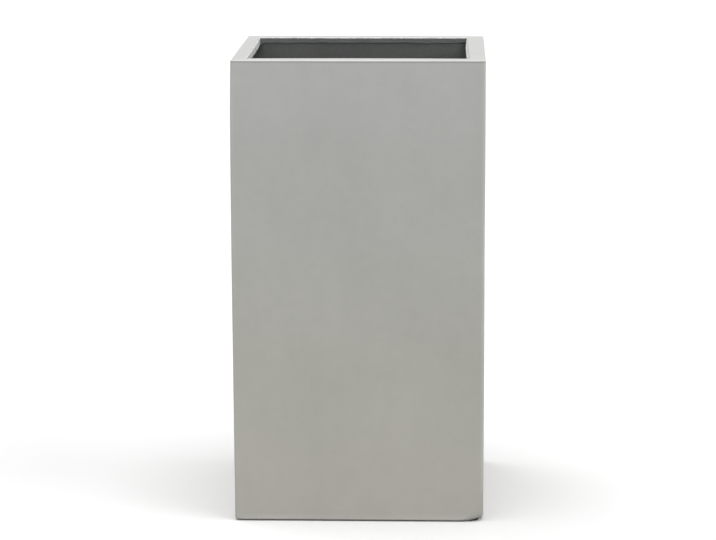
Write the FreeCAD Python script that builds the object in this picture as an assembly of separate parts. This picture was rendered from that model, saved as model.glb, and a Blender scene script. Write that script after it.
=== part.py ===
"""Tall square planter in hand-laid glass fibre, free-standing on four glued pads.

A pale face coat is moulded first and gives the walls, the returned rim and the
foot return. A laminate of glass mat and resin lines it and turns down round the
mouth as a hand-trimmed lip, which a brushed coat of resin seals. The base is a
separate panel that drops onto the foot return and is bonded in with a coved
bead. A rubber plug closes the drain hole and lifts out through the mouth.

Frame: millimetres, +Z up, origin on the floor under the middle of the planter,
-Y is the front. Each sub-part has its own function and is written as one STEP.
"""

import FreeCAD, Part
import math
import os

from FreeCAD import Vector

# Overall size
WIDTH = 400.0  # across X, outside the walls
DEPTH = 400.0  # across Y, outside the walls
HEIGHT = 740.0  # floor to the top of the rim

# Wall build-up
COAT = 3.0  # thickness of the pale face coat
LAMINATE = 3.0  # thickness of the glass laminate behind it

# Corners and outside edges, as radii
EDGE_RADIUS = 5.0  # upright edges
BRIDGE = 1.5  # the laminate turns this much wider than the coat it backs
INNER_CORNER_RADIUS = 14.0  # laminate's own inside corners
RIM_EDGE_RADIUS = 3.0  # outer edge of the rim
FOOT_EDGE_RADIUS = 2.5  # outer edge of the foot

# Front right corner of the foot, rubbed round when the foot was trimmed
WORN_RADIUS = 20.0  # plan radius at the very foot
WORN_HEIGHT = 46.0  # height over which it fades to EDGE_RADIUS

# Returned rim, each width from the outer face to the corner of the mouth
RIM_FRONT = 33.0
RIM_BACK = 32.0
RIM_LEFT = 22.5
RIM_RIGHT = 27.0
BOW_FRONT = 3.0  # how far each trimmed edge bows into the mouth
BOW_BACK = 1.5
BOW_SIDE = 1.2
MOUTH_CORNER_RADIUS = 4.0

# Lip that turns down round the mouth
LIP_THICKNESS = 3.0
LIP_DEPTH_FRONT = 12.0  # rim's top to the lip's lower edge, at the front
LIP_DEPTH_BACK = 8.5  # and at the back, where less was left on
SEAL = 1.5  # thickness of the resin brushed over the lip
SEAL_BELOW_RIM = 0.4  # the seal stops this far short of the rim's top
SEAL_OVERHANG = 1.0  # and hangs this far below the lip
SEAL_BEVEL = 0.6  # at its upper edge, towards the mouth

# Pads under the foot return
PAD_HEIGHT = 2.0
PAD_RADIUS = 9.0
PAD_CHAMFER = 0.6
PAD_INSET = 5.5  # pad's edge to either edge of the flat under the foot
FOOT_CORNER_RADIUS = 10.0  # corners of the opening inside the foot return

# Base panel
BASE_THICKNESS = 7.0
BASE_GAP = 0.6  # paste line between the panel and the walls
BASE_FALL = 3.0  # how much lower the top is at the drain
BASE_LEVEL_BORDER = 26.0  # level band round the panel's edge
BEAD_RADIUS = 13.0  # hollow face of the coved bonding bead

# Drain hole in the base panel
DRAIN_RADIUS = 12.5
BOSS_WIDTH = 11.5  # build-up round the hole under the panel
BOSS_DEPTH = 3.0
BOSS_DRAFT = 3.0  # the boss is this much narrower at its lower end

# Drain plug
PLUG_FIT = 0.08  # radial clearance at its widest ring
PLUG_TAPER = 1.0  # the nose is this much smaller in radius than the neck
PLUG_SHORT = 0.5  # the nose stops this far short of the boss's lower end
PLUG_HEAD_LAP = 6.5  # the head reaches this far past the hole
PLUG_HEAD_THICKNESS = 3.5
PLUG_HEAD_BEVEL = 1.5  # at the head's upper edge
PLUG_SEAT_MARGIN = 7.0  # level floor left round the head
PLUG_GROOVE_DEPTH = 0.7
PLUG_GROOVE_HEIGHT = 1.2
TAB_WIDTH = 16.0  # upright tab that the plug is pulled out by
TAB_THICKNESS = 4.0
TAB_HEIGHT = 11.0

# Levels and reaches that follow from the sizes above
WALL = COAT + LAMINATE
FOOT_Z = PAD_HEIGHT
COAT_FLOOR_Z = FOOT_Z + COAT
LAMINATE_FLOOR_Z = FOOT_Z + WALL
BASE_TOP_Z = LAMINATE_FLOOR_Z + BASE_THICKNESS
BOSS_Z = LAMINATE_FLOOR_Z - BOSS_DEPTH
DRAIN_TOP_Z = BASE_TOP_Z - BASE_FALL
COAT_CEILING_Z = HEIGHT - COAT
LAMINATE_CEILING_Z = HEIGHT - WALL
SEAL_TOP_Z = HEIGHT - SEAL_BELOW_RIM
FOOT_WIDTH = FOOT_EDGE_RADIUS + 2 * (PAD_INSET + PAD_RADIUS)
PAD_CENTRE_INSET = FOOT_EDGE_RADIUS + PAD_INSET + PAD_RADIUS
PLUG_HEAD_RADIUS = DRAIN_RADIUS + PLUG_HEAD_LAP
CUT_MARGIN = 5.0  # how far cutting solids run past what they cut
SAME_LEVEL = 1e-4  # heights closer than this are one height


def rounded_rectangle(half_x, half_y, radius, z=0.0, front_right_radius=None):
    """Closed level wire: four straight sides joined by tangent quarter turns. The
    front right corner may have a radius of its own."""
    radii = [radius, radius, radius, front_right_radius or radius]
    edges = []
    for quarter in range(4):
        turn = math.radians(90 * quarter)
        reach, side = (half_x, half_y) if quarter % 2 == 0 else (half_y, half_x)
        corner, last_corner = radii[quarter], radii[quarter - 1]
        diagonal = corner * math.sqrt(0.5)

        def turned(x, y):
            across = x * math.cos(turn) - y * math.sin(turn)
            along = x * math.sin(turn) + y * math.cos(turn)
            return Vector(across, along, z)

        side_start = turned(reach, last_corner - side)
        side_end = turned(reach, side - corner)
        corner_middle = turned(reach - corner + diagonal, side - corner + diagonal)
        corner_end = turned(reach - corner, side)
        edges.append(Part.LineSegment(side_start, side_end).toShape())
        edges.append(Part.Arc(side_end, corner_middle, corner_end).toShape())
    return Part.Wire(edges)


def frustum(low_half_x, low_half_y, low_z, high_half_x, high_half_y, high_z):
    """Solid between two level rectangles, with four flat sloping sides."""

    def corners(half_x, half_y, z):
        signs = ((-1, -1), (1, -1), (1, 1), (-1, 1))
        return [Vector(x * half_x, y * half_y, z) for x, y in signs]

    low = corners(low_half_x, low_half_y, low_z)
    high = corners(high_half_x, high_half_y, high_z)
    outlines = [low, high]
    for index in range(4):
        after = (index + 1) % 4
        outlines.append([low[index], low[after], high[after], high[index]])
    faces = [Part.Face(Part.makePolygon(points + points[:1])) for points in outlines]
    return Part.Solid(Part.Shell(faces))


def prism(wire, low_z, high_z):
    """Upright solid between two heights, with the wire as its plan."""
    solid = Part.Face(wire).extrude(Vector(0, 0, high_z - low_z))
    solid.translate(Vector(0, 0, low_z))
    return solid


def level_edges(solid, z):
    """The edges of a solid that lie at one height."""
    return [
        edge
        for edge in solid.Edges
        if abs(edge.BoundBox.ZMin - z) < SAME_LEVEL
        and abs(edge.BoundBox.ZMax - z) < SAME_LEVEL
    ]


def upright_edges(solid):
    """The edges of a solid that rise from one height to another."""
    return [edge for edge in solid.Edges if edge.BoundBox.ZLength > SAME_LEVEL]


def body_form(inset, radius, low_z, high_z):
    """The planter's outside form, taken in by inset: square in plan, with a front
    right corner that turns rounder towards the foot."""
    half_x, half_y = WIDTH / 2 - inset, DEPTH / 2 - inset
    fade_z = FOOT_Z + WORN_HEIGHT
    worn_share = (fade_z - low_z) / WORN_HEIGHT
    foot_radius = radius + (WORN_RADIUS - EDGE_RADIUS) * worn_share
    foot_wire = rounded_rectangle(half_x, half_y, radius, low_z, foot_radius)
    fade_wire = rounded_rectangle(half_x, half_y, radius, fade_z)
    lower = Part.makeLoft([foot_wire, fade_wire], True, True)
    upper = prism(rounded_rectangle(half_x, half_y, radius), fade_z, high_z)
    return lower.fuse(upper).removeSplitter()


def mouth_form(inset, low_z, high_z):
    """Upright solid in the mouth's outline, taken in by inset: four edges that bow
    inwards a little, as hand-trimmed edges do, and small corner radii."""
    left, right = RIM_LEFT + inset - WIDTH / 2, WIDTH / 2 - RIM_RIGHT - inset
    front, back = RIM_FRONT + inset - DEPTH / 2, DEPTH / 2 - RIM_BACK - inset
    middle_x, middle_y = (left + right) / 2, (front + back) / 2
    corners = [(left, front), (right, front), (right, back), (left, back)]
    middles = [
        (middle_x, front + BOW_FRONT),
        (right - BOW_SIDE, middle_y),
        (middle_x, back - BOW_BACK),
        (left + BOW_SIDE, middle_y),
    ]
    sides = []
    for index, middle in enumerate(middles):
        start, end = corners[index], corners[(index + 1) % 4]
        arc = Part.Arc(Vector(*start, 0), Vector(*middle, 0), Vector(*end, 0))
        sides.append(arc.toShape())
    solid = prism(Part.Wire(sides), low_z, high_z)
    return solid.makeFillet(MOUTH_CORNER_RADIUS, upright_edges(solid))


def inner_room(low_z, high_z, inset=0.0):
    """Upright solid that fills the plan inside the laminated walls."""
    outline = rounded_rectangle(
        WIDTH / 2 - WALL - inset, DEPTH / 2 - WALL - inset, INNER_CORNER_RADIUS - inset
    )
    return prism(outline, low_z, high_z)


def foot_opening(low_z, high_z):
    """Upright solid in the outline of the opening inside the foot return."""
    half_x, half_y = WIDTH / 2 - FOOT_WIDTH, DEPTH / 2 - FOOT_WIDTH
    return prism(rounded_rectangle(half_x, half_y, FOOT_CORNER_RADIUS), low_z, high_z)


def below_trim_line(drop):
    """Wedge under the sloping line along which the lip was trimmed by hand."""
    front_z = HEIGHT - LIP_DEPTH_FRONT - drop
    back_z = HEIGHT - LIP_DEPTH_BACK - drop
    low_z = min(front_z, back_z) - 2 * CUT_MARGIN
    left, front, back = -WIDTH / 2, -DEPTH / 2, DEPTH / 2
    outline = Part.makePolygon(
        [
            Vector(left, front, front_z),
            Vector(left, back, back_z),
            Vector(left, back, low_z),
            Vector(left, front, low_z),
            Vector(left, front, front_z),
        ]
    )
    return Part.Face(outline).extrude(Vector(WIDTH, 0, 0))


def mouth_band(outer_inset, inner_inset, high_z, drop):
    """Upright band round the mouth, down to the trim line."""
    low_z = HEIGHT - max(LIP_DEPTH_FRONT, LIP_DEPTH_BACK) - drop - CUT_MARGIN
    band = mouth_form(outer_inset, low_z, high_z)
    bore = mouth_form(inner_inset, low_z - CUT_MARGIN, high_z + CUT_MARGIN)
    return band.cut([bore, below_trim_line(drop)])


def outer_shell():
    """Pale face coat: walls, returned rim and foot return in one moulding."""
    block = body_form(0.0, EDGE_RADIUS, FOOT_Z, HEIGHT)
    block = block.makeFillet(RIM_EDGE_RADIUS, level_edges(block, HEIGHT))
    block = block.makeFillet(FOOT_EDGE_RADIUS, level_edges(block, FOOT_Z))
    hollow = body_form(COAT, EDGE_RADIUS - COAT, COAT_FLOOR_Z, COAT_CEILING_Z)
    mouth = mouth_form(0.0, COAT_CEILING_Z - CUT_MARGIN, HEIGHT + CUT_MARGIN)
    opening = foot_opening(FOOT_Z - CUT_MARGIN, COAT_FLOOR_Z + CUT_MARGIN)
    return block.cut([hollow, mouth, opening])


def inner_laminate():
    """Glass laminate that lines the walls, rim and foot return, and the lip."""
    backing_radius = EDGE_RADIUS - COAT + BRIDGE
    block = body_form(COAT, backing_radius, COAT_FLOOR_Z, COAT_CEILING_Z)
    room = inner_room(LAMINATE_FLOOR_Z, LAMINATE_CEILING_Z)
    mouth = mouth_form(0.0, LAMINATE_CEILING_Z - CUT_MARGIN, HEIGHT)
    opening = foot_opening(FOOT_Z, LAMINATE_FLOOR_Z + CUT_MARGIN)
    lip = mouth_band(-LIP_THICKNESS, 0.0, LAMINATE_CEILING_Z, 0.0)
    return block.cut([room, mouth, opening]).fuse(lip).removeSplitter()


def mouth_seal():
    """Resin brushed over the cut edge of the rim and down the lip."""
    band = mouth_band(0.0, SEAL, SEAL_TOP_Z, SEAL_OVERHANG)
    top = [face for face in band.Faces if face.BoundBox.ZMin > SEAL_TOP_Z - SAME_LEVEL][0]
    inner_wire = [wire for wire in top.Wires if not wire.isSame(top.OuterWire)][0]
    return band.makeChamfer(SEAL_BEVEL, inner_wire.Edges)


def base_panel():
    """Laminated base: level at the edge, falling to a built-up drain hole."""
    panel = inner_room(LAMINATE_FLOOR_Z, BASE_TOP_Z, BASE_GAP)
    border = WALL + BASE_LEVEL_BORDER
    level_half = PLUG_HEAD_RADIUS + PLUG_SEAT_MARGIN
    dish = frustum(
        level_half, level_half, DRAIN_TOP_Z, WIDTH / 2 - border, DEPTH / 2 - border, BASE_TOP_Z
    )
    boss_radius = DRAIN_RADIUS + BOSS_WIDTH
    boss = Part.makeCone(
        boss_radius - BOSS_DRAFT, boss_radius, BOSS_DEPTH, Vector(0, 0, BOSS_Z)
    )
    drain = Part.makeCylinder(
        DRAIN_RADIUS,
        BASE_TOP_Z - BOSS_Z + 2 * CUT_MARGIN,
        Vector(0, 0, BOSS_Z - CUT_MARGIN),
    )
    return panel.cut(dish).fuse(boss).removeSplitter().cut(drain)


def base_bead():
    """Coved bead of resin and glass tape that bonds the base to the walls."""
    high_z = BASE_TOP_Z + BEAD_RADIUS
    block = inner_room(BASE_TOP_Z, high_z)
    air = inner_room(BASE_TOP_Z, high_z + CUT_MARGIN)
    return block.cut(air.makeFillet(BEAD_RADIUS, level_edges(air, BASE_TOP_Z)))


def plug_turning():
    """The plug's round body: a tapered, grooved neck under a bevelled head."""
    neck = DRAIN_RADIUS - PLUG_FIT
    nose = neck - PLUG_TAPER
    nose_z = BOSS_Z + PLUG_SHORT
    middle_z = (nose_z + DRAIN_TOP_Z) / 2
    groove_radius = (neck + nose) / 2 - PLUG_GROOVE_DEPTH
    head_z = DRAIN_TOP_Z + PLUG_HEAD_THICKNESS
    half_groove = PLUG_GROOVE_HEIGHT / 2
    slope = PLUG_TAPER / (DRAIN_TOP_Z - nose_z)
    outline = [
        (0, nose_z),
        (nose, nose_z),
        (nose + slope * (middle_z - half_groove - nose_z), middle_z - half_groove),
        (groove_radius, middle_z - half_groove),
        (groove_radius, middle_z + half_groove),
        (neck - slope * (DRAIN_TOP_Z - middle_z - half_groove), middle_z + half_groove),
        (neck, DRAIN_TOP_Z),
        (PLUG_HEAD_RADIUS, DRAIN_TOP_Z),
        (PLUG_HEAD_RADIUS, head_z - PLUG_HEAD_BEVEL),
        (PLUG_HEAD_RADIUS - PLUG_HEAD_BEVEL, head_z),
        (0, head_z),
    ]
    half_section = Part.makePolygon([Vector(r, 0, z) for r, z in outline + outline[:1]])
    return Part.Face(half_section).revolve(Vector(0, 0, 0), Vector(0, 0, 1), 360)


def plug_tab():
    """Upright tab on the plug's head, round at the top."""
    half, end = TAB_WIDTH / 2, TAB_THICKNESS / 2
    low_z = DRAIN_TOP_Z + PLUG_HEAD_THICKNESS
    shoulder_z = DRAIN_TOP_Z + PLUG_HEAD_THICKNESS + TAB_HEIGHT - half
    top = Part.Arc(
        Vector(half, -end, shoulder_z),
        Vector(0, -end, shoulder_z + half),
        Vector(-half, -end, shoulder_z),
    )
    sides = Part.makePolygon(
        [
            Vector(-half, -end, shoulder_z),
            Vector(-half, -end, low_z),
            Vector(half, -end, low_z),
            Vector(half, -end, shoulder_z),
        ]
    )
    outline = Part.Wire(sides.Edges + [top.toShape()])
    return Part.Face(outline).extrude(Vector(0, TAB_THICKNESS, 0))


def drain_plug():
    """Rubber plug, in one moulding."""
    return plug_turning().fuse(plug_tab()).removeSplitter()


def foot_pad(x_side, y_side):
    """Round rubber pad glued under one corner of the foot."""
    centre = Vector(
        x_side * (WIDTH / 2 - PAD_CENTRE_INSET), y_side * (DEPTH / 2 - PAD_CENTRE_INSET), 0
    )
    pad = Part.makeCylinder(PAD_RADIUS, PAD_HEIGHT, centre)
    return pad.makeChamfer(PAD_CHAMFER, level_edges(pad, 0.0))


def all_nodes():
    """Every sub-part by name."""
    nodes = {
        "outer_shell": outer_shell(),
        "inner_laminate": inner_laminate(),
        "mouth_seal": mouth_seal(),
        "base_panel": base_panel(),
        "base_bead": base_bead(),
        "drain_plug": drain_plug(),
    }
    for y_name, y_side in (("front", -1), ("back", 1)):
        for x_name, x_side in (("left", -1), ("right", 1)):
            nodes["foot_pad_" + y_name + "_" + x_name] = foot_pad(x_side, y_side)
    return nodes


def main():
    """Write each sub-part as one STEP file."""
    os.makedirs("parts", exist_ok=True)
    for name, shape in all_nodes().items():
        shape.exportStep("parts/" + name + ".step")
        print(name, "solids", len(shape.Solids), "volume", round(shape.Volume))


main()
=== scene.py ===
import logging
import math
from dataclasses import dataclass, field
from enum import Enum
from functools import reduce

import bpy
import numpy as np
from mathutils import Matrix, Vector, noise


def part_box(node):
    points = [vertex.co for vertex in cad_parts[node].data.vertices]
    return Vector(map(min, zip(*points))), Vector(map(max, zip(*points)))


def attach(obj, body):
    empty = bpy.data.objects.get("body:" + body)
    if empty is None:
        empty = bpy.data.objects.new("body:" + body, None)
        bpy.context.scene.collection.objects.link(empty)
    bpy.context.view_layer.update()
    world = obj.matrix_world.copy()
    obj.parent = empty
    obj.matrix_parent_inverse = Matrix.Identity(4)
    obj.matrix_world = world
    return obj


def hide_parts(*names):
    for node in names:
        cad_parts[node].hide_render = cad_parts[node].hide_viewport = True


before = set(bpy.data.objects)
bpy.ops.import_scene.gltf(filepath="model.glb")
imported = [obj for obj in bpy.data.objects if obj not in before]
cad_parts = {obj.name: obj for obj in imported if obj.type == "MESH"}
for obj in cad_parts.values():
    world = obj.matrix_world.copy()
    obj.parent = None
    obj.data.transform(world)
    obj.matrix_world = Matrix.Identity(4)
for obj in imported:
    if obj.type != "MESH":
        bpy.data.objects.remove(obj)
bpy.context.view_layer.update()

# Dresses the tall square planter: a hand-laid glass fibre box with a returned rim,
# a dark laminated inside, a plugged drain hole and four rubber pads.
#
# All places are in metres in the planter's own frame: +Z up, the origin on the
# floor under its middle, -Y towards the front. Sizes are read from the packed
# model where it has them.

log = logging.getLogger("planter")

MM = 0.001
CLEAR = 0.1 * MM  # left between two skins that lie on each other
SIDE_STEPS = 110  # points along one side of an outline
CORNER_STEPS = 7  # points round one corner
FLAT_STEPS = 3  # rings across a narrow flat, besides its two edges
NARROW_STEPS = 2  # rings across a narrower one
WIDE_STEPS = 4  # rings across a wider one
BACK_STEPS = 14  # rings up a face that another skin hides
EDGE_STEPS = 6  # parts of a rounded edge
CAP_SHARE = 0.3  # radius of the cap in a turned end, as a share of that end's
SEED_STEPS = (1.0, 2.3, -1.7)  # how a seed shifts a pattern along X, Y and Z
USUAL_NOISE = (0.3, 0.7)  # nearly all of a noise node's values lie between these

Triple = tuple[float, float, float]
Colour = Triple
Span = tuple[float, float]

FLAT: Triple = (1.0, 1.0, 0.0)  # stretch of a pattern that runs straight down


def paint(red: int, green: int, blue: int) -> Colour:
    """Turns a colour as seen on a screen into the linear colour of a paint.

    Args:
        red: Red level, 0 to 255.
        green: Green level, 0 to 255.
        blue: Blue level, 0 to 255.

    Returns:
        The linear colour.
    """
    # These numbers are the screen standard's own.
    levels = (level / 255 for level in (red, green, blue))
    return tuple(v / 12.92 if v <= 0.04045 else ((v + 0.055) / 1.055) ** 2.4 for v in levels)


def ease(value: np.ndarray | float) -> np.ndarray | float:
    """Clamps a share to 0..1 and eases both of its ends."""
    share = np.clip(value, 0.0, 1.0)
    return share * share * (3 - 2 * share)


def near(distance: np.ndarray | float, reach: float) -> np.ndarray | float:
    """1 at no distance and 0 at reach, eased."""
    return ease(1 - distance / reach)


def past(value: np.ndarray | float, start: float, end: float) -> np.ndarray | float:
    """0 at start and 1 at end, eased."""
    return ease((value - start) / (end - start))


@dataclass(frozen=True)
class Ripple:
    """Smooth noise over a surface.

    Attributes:
        size: How far apart its bumps are, in metres.
        seed: Shifts the pattern, so that two surfaces differ.
        reach: How far it goes each way.
        stretch: How much finer it is along X, Y and Z.
    """

    size: float
    seed: float
    reach: float = 1.0
    stretch: Triple = (1.0, 1.0, 1.0)

    def at(self, points: np.ndarray) -> np.ndarray:
        """Its value at each point, about -reach to reach.

        Args:
            points: The points, X, Y and Z.

        Returns:
            The values.
        """
        shift = Vector([self.seed * step for step in SEED_STEPS])
        placed = points * np.array(self.stretch)
        return self.reach * np.array([noise.noise(Vector(at) / self.size + shift) for at in placed])

    def patches(self, points: np.ndarray) -> np.ndarray:
        """Patches at each point, from about 1 - 2 * reach to 1."""
        return 1 - self.reach + self.at(points)


def layered(points: np.ndarray, ripples: tuple[Ripple, ...]) -> np.ndarray:
    """Several ripples together at each point, from about 0 to 1."""
    return 0.5 + sum(ripple.at(points) for ripple in ripples)


class Side(Enum):
    """The planter's sides, in the order that an outline runs round them."""

    RIGHT = 0
    BACK = 1
    LEFT = 2
    FRONT = 3


class Mask(Enum):
    """Masks that the meshes carry for their finishes to read."""

    WEAR_AND_HIGHLIGHT = "edge"  # worn edges, and painted highlight on the rim's front and back bands and the mouth's arris
    PAINTED = "painted"  # dark overpaint
    RESIN = "resin"  # resin-rich, glossier places
    MOUTH_SHADE = "mouth_shade"  # painted shade: a dark line beside the mouth


class Axis(Enum):
    """Axes of the frame, as the number of their coordinate."""

    X = 0
    Z = 2


class Sum(Enum):
    """Sums that a node does on two values; SIZE takes only the first."""

    ADD = "ADD"
    LESS = "SUBTRACT"
    TIMES = "MULTIPLY"
    HIGHEST = "MAXIMUM"
    SIZE = "ABSOLUTE"


@dataclass(frozen=True)
class Outline:
    """A level outline: four sides joined by quarter turns.

    Attributes:
        left: X of the left side.
        right: X of the right side.
        front: Y of the front side.
        back: Y of the back side.
        radii: Radius of each corner: back right, back left, front left, front right.
        bows: How far each side bows inwards at its middle, in Side order.
    """

    left: float
    right: float
    front: float
    back: float
    radii: tuple[float, float, float, float]
    bows: tuple[float, float, float, float] = (0.0, 0.0, 0.0, 0.0)

    def trace(self, side_steps: int, corner_steps: int) -> tuple[np.ndarray, np.ndarray]:
        """Walks round the outline, anticlockwise from above, from the front right.

        Args:
            side_steps: Points along each side.
            corner_steps: Points round each corner.

        Returns:
            The points and the outward directions, as two arrays of X and Y.
        """
        spots = [
            (self.right, self.back),
            (self.left, self.back),
            (self.left, self.front),
            (self.right, self.front),
        ]
        shares = np.arange(side_steps) / side_steps
        turns = np.arange(corner_steps) / corner_steps * math.pi / 2
        points, outwards = [], []
        for index, radius in enumerate(self.radii):
            angle = index * math.pi / 2
            out = np.array([math.cos(angle), math.sin(angle)])
            along = np.array([-out[1], out[0]])
            start = np.array(spots[index - 1]) + along * self.radii[index - 1]
            end = np.array(spots[index]) - along * radius
            bow = self.bows[index] * 4 * shares * (1 - shares)
            points.append(start + np.outer(shares, end - start) - np.outer(bow, out))
            outwards.append(np.tile(out, (side_steps, 1)))
            radial = np.column_stack([np.cos(angle + turns), np.sin(angle + turns)])
            points.append(end - out * radius + radial * radius)
            outwards.append(radial)
        return np.vstack(points), np.vstack(outwards)


@dataclass
class Skin:
    """A mesh woven from rings of points, each ring joined to the next.

    Attributes:
        name: Name of the object.
        looped: Whether the last ring joins the first, as in a tube bent round.
        smooth_angle: Edges sharper than this stay sharp, in degrees.
        rings: The rings so far, in order.
        masks: What each point of each ring has of each mask.
    """

    name: str
    looped: bool = True
    smooth_angle: float = 40.0
    rings: list[np.ndarray] = field(default_factory=list)
    masks: dict[Mask, list[np.ndarray]] = field(default_factory=dict)

    def add(self, points: np.ndarray, masks: dict[Mask, np.ndarray] | None = None) -> None:
        """Adds the next ring.

        Args:
            points: The ring's points, X, Y and Z.
            masks: What each point of this ring has of each mask; none means 0.
        """
        for mask in self.masks:
            self.masks[mask].append(np.zeros(len(points)))
        for mask, values in (masks or {}).items():
            if mask not in self.masks:
                self.masks[mask] = [np.zeros(len(points)) for _ in range(len(self.rings) + 1)]
            self.masks[mask][-1] = np.broadcast_to(values, len(points)).astype(float)
        self.rings.append(np.asarray(points, dtype=float))

    def faces(self) -> list[list[int]]:
        """Joins the rings, and caps the ends if the skin isn't looped.

        Returns:
            The faces, as lists of point numbers.
        """
        count, size = len(self.rings), len(self.rings[0])
        places = np.arange(count * size).reshape(count, size)
        lower = places if self.looped else places[:-1]
        upper = np.roll(places, -1, axis=0) if self.looped else places[1:]
        lower_next, upper_next = np.roll(lower, -1, axis=1), np.roll(upper, -1, axis=1)
        quads = np.stack([lower, lower_next, upper_next, upper], axis=-1)
        faces = quads.reshape(-1, 4).tolist()
        if not self.looped:
            faces.append(places[0][::-1].tolist())
            faces.append(places[-1].tolist())
        return faces

    def flip(self) -> None:
        """Turns the order of the rings round, so that the faces look the other way."""
        self.rings.reverse()
        for rows in self.masks.values():
            rows.reverse()

    def weave(self) -> bpy.types.Object:
        """Makes the object from the rings and masks.

        Returns:
            The object.
        """
        mesh = bpy.data.meshes.new(self.name)
        mesh.from_pydata(np.vstack(self.rings).tolist(), [], self.faces())
        for mask, rows in self.masks.items():
            layer = mesh.attributes.new(mask.value, "FLOAT", "POINT")
            layer.data.foreach_set("value", np.concatenate(rows).astype(np.float32))
        mesh.shade_smooth()
        mesh.set_sharp_from_angle(angle=math.radians(self.smooth_angle))
        mesh.update()
        piece = bpy.data.objects.new(self.name, mesh)
        bpy.context.scene.collection.objects.link(piece)
        weights = piece.modifiers.new("even_shading", "WEIGHTED_NORMAL")
        weights.keep_sharp = True
        return piece


@dataclass(frozen=True)
class BodyForm:
    """The planter's outside form and wall build-up.

    Attributes:
        low: Lowest corner of the outer shell.
        high: Highest corner of the outer shell.
        coat: Thickness of the face coat.
        laminate: Thickness of the laminate behind it.
        rim: Width of the returned rim on each side, in Side order.
        edge_radii: Radius of each upright edge: back right, back left, front left,
            front right.
        room_corner: Radius of the laminate's inside corners.
        worn_radius: Plan radius of the front right corner at the foot.
        worn_height: Height over which that fades away.
        left_foot_bow: How far the left wall stands in at the foot.
        left_rim_bow: How far it stands in at the rim.
        left_foot_from: Share of the height below which it comes in towards the foot.
        left_rim_from: Share of the height above which it comes in towards the rim.
        left_foot_curve: Power of the curve towards the foot.
        left_rim_curve: Power of the curve towards the rim.
        mouth_corner: Radius of the mouth's corners.
        mouth_bows: How far each side of the mouth bows into it, in Side order.
        foot_width: Width of the foot return.
        foot_corner: Radius of the corners of the opening inside it.
        foot_radius: Outer edge of the foot.
        corner_foot_radius: The same edge at the corners.
        corner_reach: How far from a corner the edge starts to grow rounder.
        worn_foot_radius: The same edge at the front right corner.
        worn_reach: How far from that corner its rounding is felt.
    """

    low: Vector
    high: Vector
    coat: float
    laminate: float
    rim: tuple[float, float, float, float]
    edge_radii: tuple[float, float, float, float] = (3.0 * MM, 5.0 * MM, 4.0 * MM, 4.0 * MM)
    room_corner: float = 14.0 * MM
    worn_radius: float = 20.0 * MM
    worn_height: float = 46.0 * MM
    left_foot_bow: float = 2.2 * MM
    left_rim_bow: float = 1.5 * MM
    left_foot_from: float = 0.58
    left_rim_from: float = 0.88
    left_foot_curve: float = 1.2
    left_rim_curve: float = 1.5
    mouth_corner: float = 4.0 * MM
    mouth_bows: tuple[float, float, float, float] = (2.2 * MM, 1.5 * MM, 1.2 * MM, 3.0 * MM)
    foot_width: float = 31.5 * MM
    foot_corner: float = 10.0 * MM
    foot_radius: float = 2.5 * MM
    corner_foot_radius: float = 4.6 * MM
    corner_reach: float = 16.0 * MM
    worn_foot_radius: float = 14.0 * MM
    worn_reach: float = 40.0 * MM

    @classmethod
    def from_frame(cls) -> "BodyForm":
        """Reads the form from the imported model's boxes.

        Returns:
            The form.
        """
        low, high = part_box("outer_shell")
        backing_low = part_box("inner_laminate")[0]
        room_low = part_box("base_bead")[0]
        mouth_low, mouth_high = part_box("mouth_seal")
        rim = (
            high[0] - mouth_high[0],
            high[1] - mouth_high[1],
            mouth_low[0] - low[0],
            mouth_low[1] - low[1],
        )
        coat = backing_low[0] - low[0]
        laminate = room_low[0] - backing_low[0]
        return cls(Vector(low), Vector(high), coat, laminate, rim)

    @property
    def wall(self) -> float:
        """Thickness of the whole wall."""
        return self.coat + self.laminate

    def left_bow(self, z: float) -> float:
        """How far the left wall stands in at a height: it bellies above the middle.

        Args:
            z: The height.

        Returns:
            How far it stands in there.
        """
        share = (z - self.low.z) / (self.high.z - self.low.z)
        foot = max(0.0, 1 - share / self.left_foot_from) ** self.left_foot_curve
        rim = max(0.0, (share - self.left_rim_from) / (1 - self.left_rim_from)) ** self.left_rim_curve
        return self.left_foot_bow * foot + self.left_rim_bow * rim

    def outside(self, z: float) -> Outline:
        """The outline of the walls' outer face at a height.

        Args:
            z: The height.

        Returns:
            The outline.
        """
        worn = max(0.0, 1 - (z - self.low.z) / self.worn_height)
        *others, front_right = self.edge_radii
        return Outline(
            left=self.low.x + self.left_bow(z),
            right=self.high.x,
            front=self.low.y,
            back=self.high.y,
            radii=(*others, front_right + (self.worn_radius - front_right) * worn),
        )

    def foot_radii(self) -> np.ndarray:
        """Radius of the foot's outer edge at each point of a ring.

        Returns:
            The radii, in the order of the ring's points.
        """
        points = ring(self.outside(self.low.z), 0.0)[:, :2]
        radii = np.full(len(points), self.foot_radius)
        spots = [(x, y) for x in (self.low.x, self.high.x) for y in (self.low.y, self.high.y)]
        for spot in spots:
            worn = spot == (self.high.x, self.low.y)
            reach = self.worn_reach if worn else self.corner_reach
            radius = self.worn_foot_radius if worn else self.corner_foot_radius
            away = np.linalg.norm(points - np.array(spot), axis=1)
            radii += (radius - self.foot_radius) * near(away, reach)
        return radii

    def foot_arc(self, depth: float) -> list[np.ndarray]:
        """Rings round the foot's outer edge, from its underside to the walls.

        Args:
            depth: How deep inside the outer face they lie.

        Returns:
            The rings.
        """
        radii = self.foot_radii()
        arc = np.maximum(radii - depth, 0.0)
        centre = np.maximum(radii, depth)
        rings = []
        for angle in quarter(EDGE_STEPS):
            level = self.low.z + depth + (self.foot_radius - depth) * (1 - math.cos(angle))
            outline = self.outside(max(self.low.z, level))
            z = self.low.z + centre - arc * math.cos(angle)
            rings.append(ring(outline, z, centre - arc * math.sin(angle)))
        return rings

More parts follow.
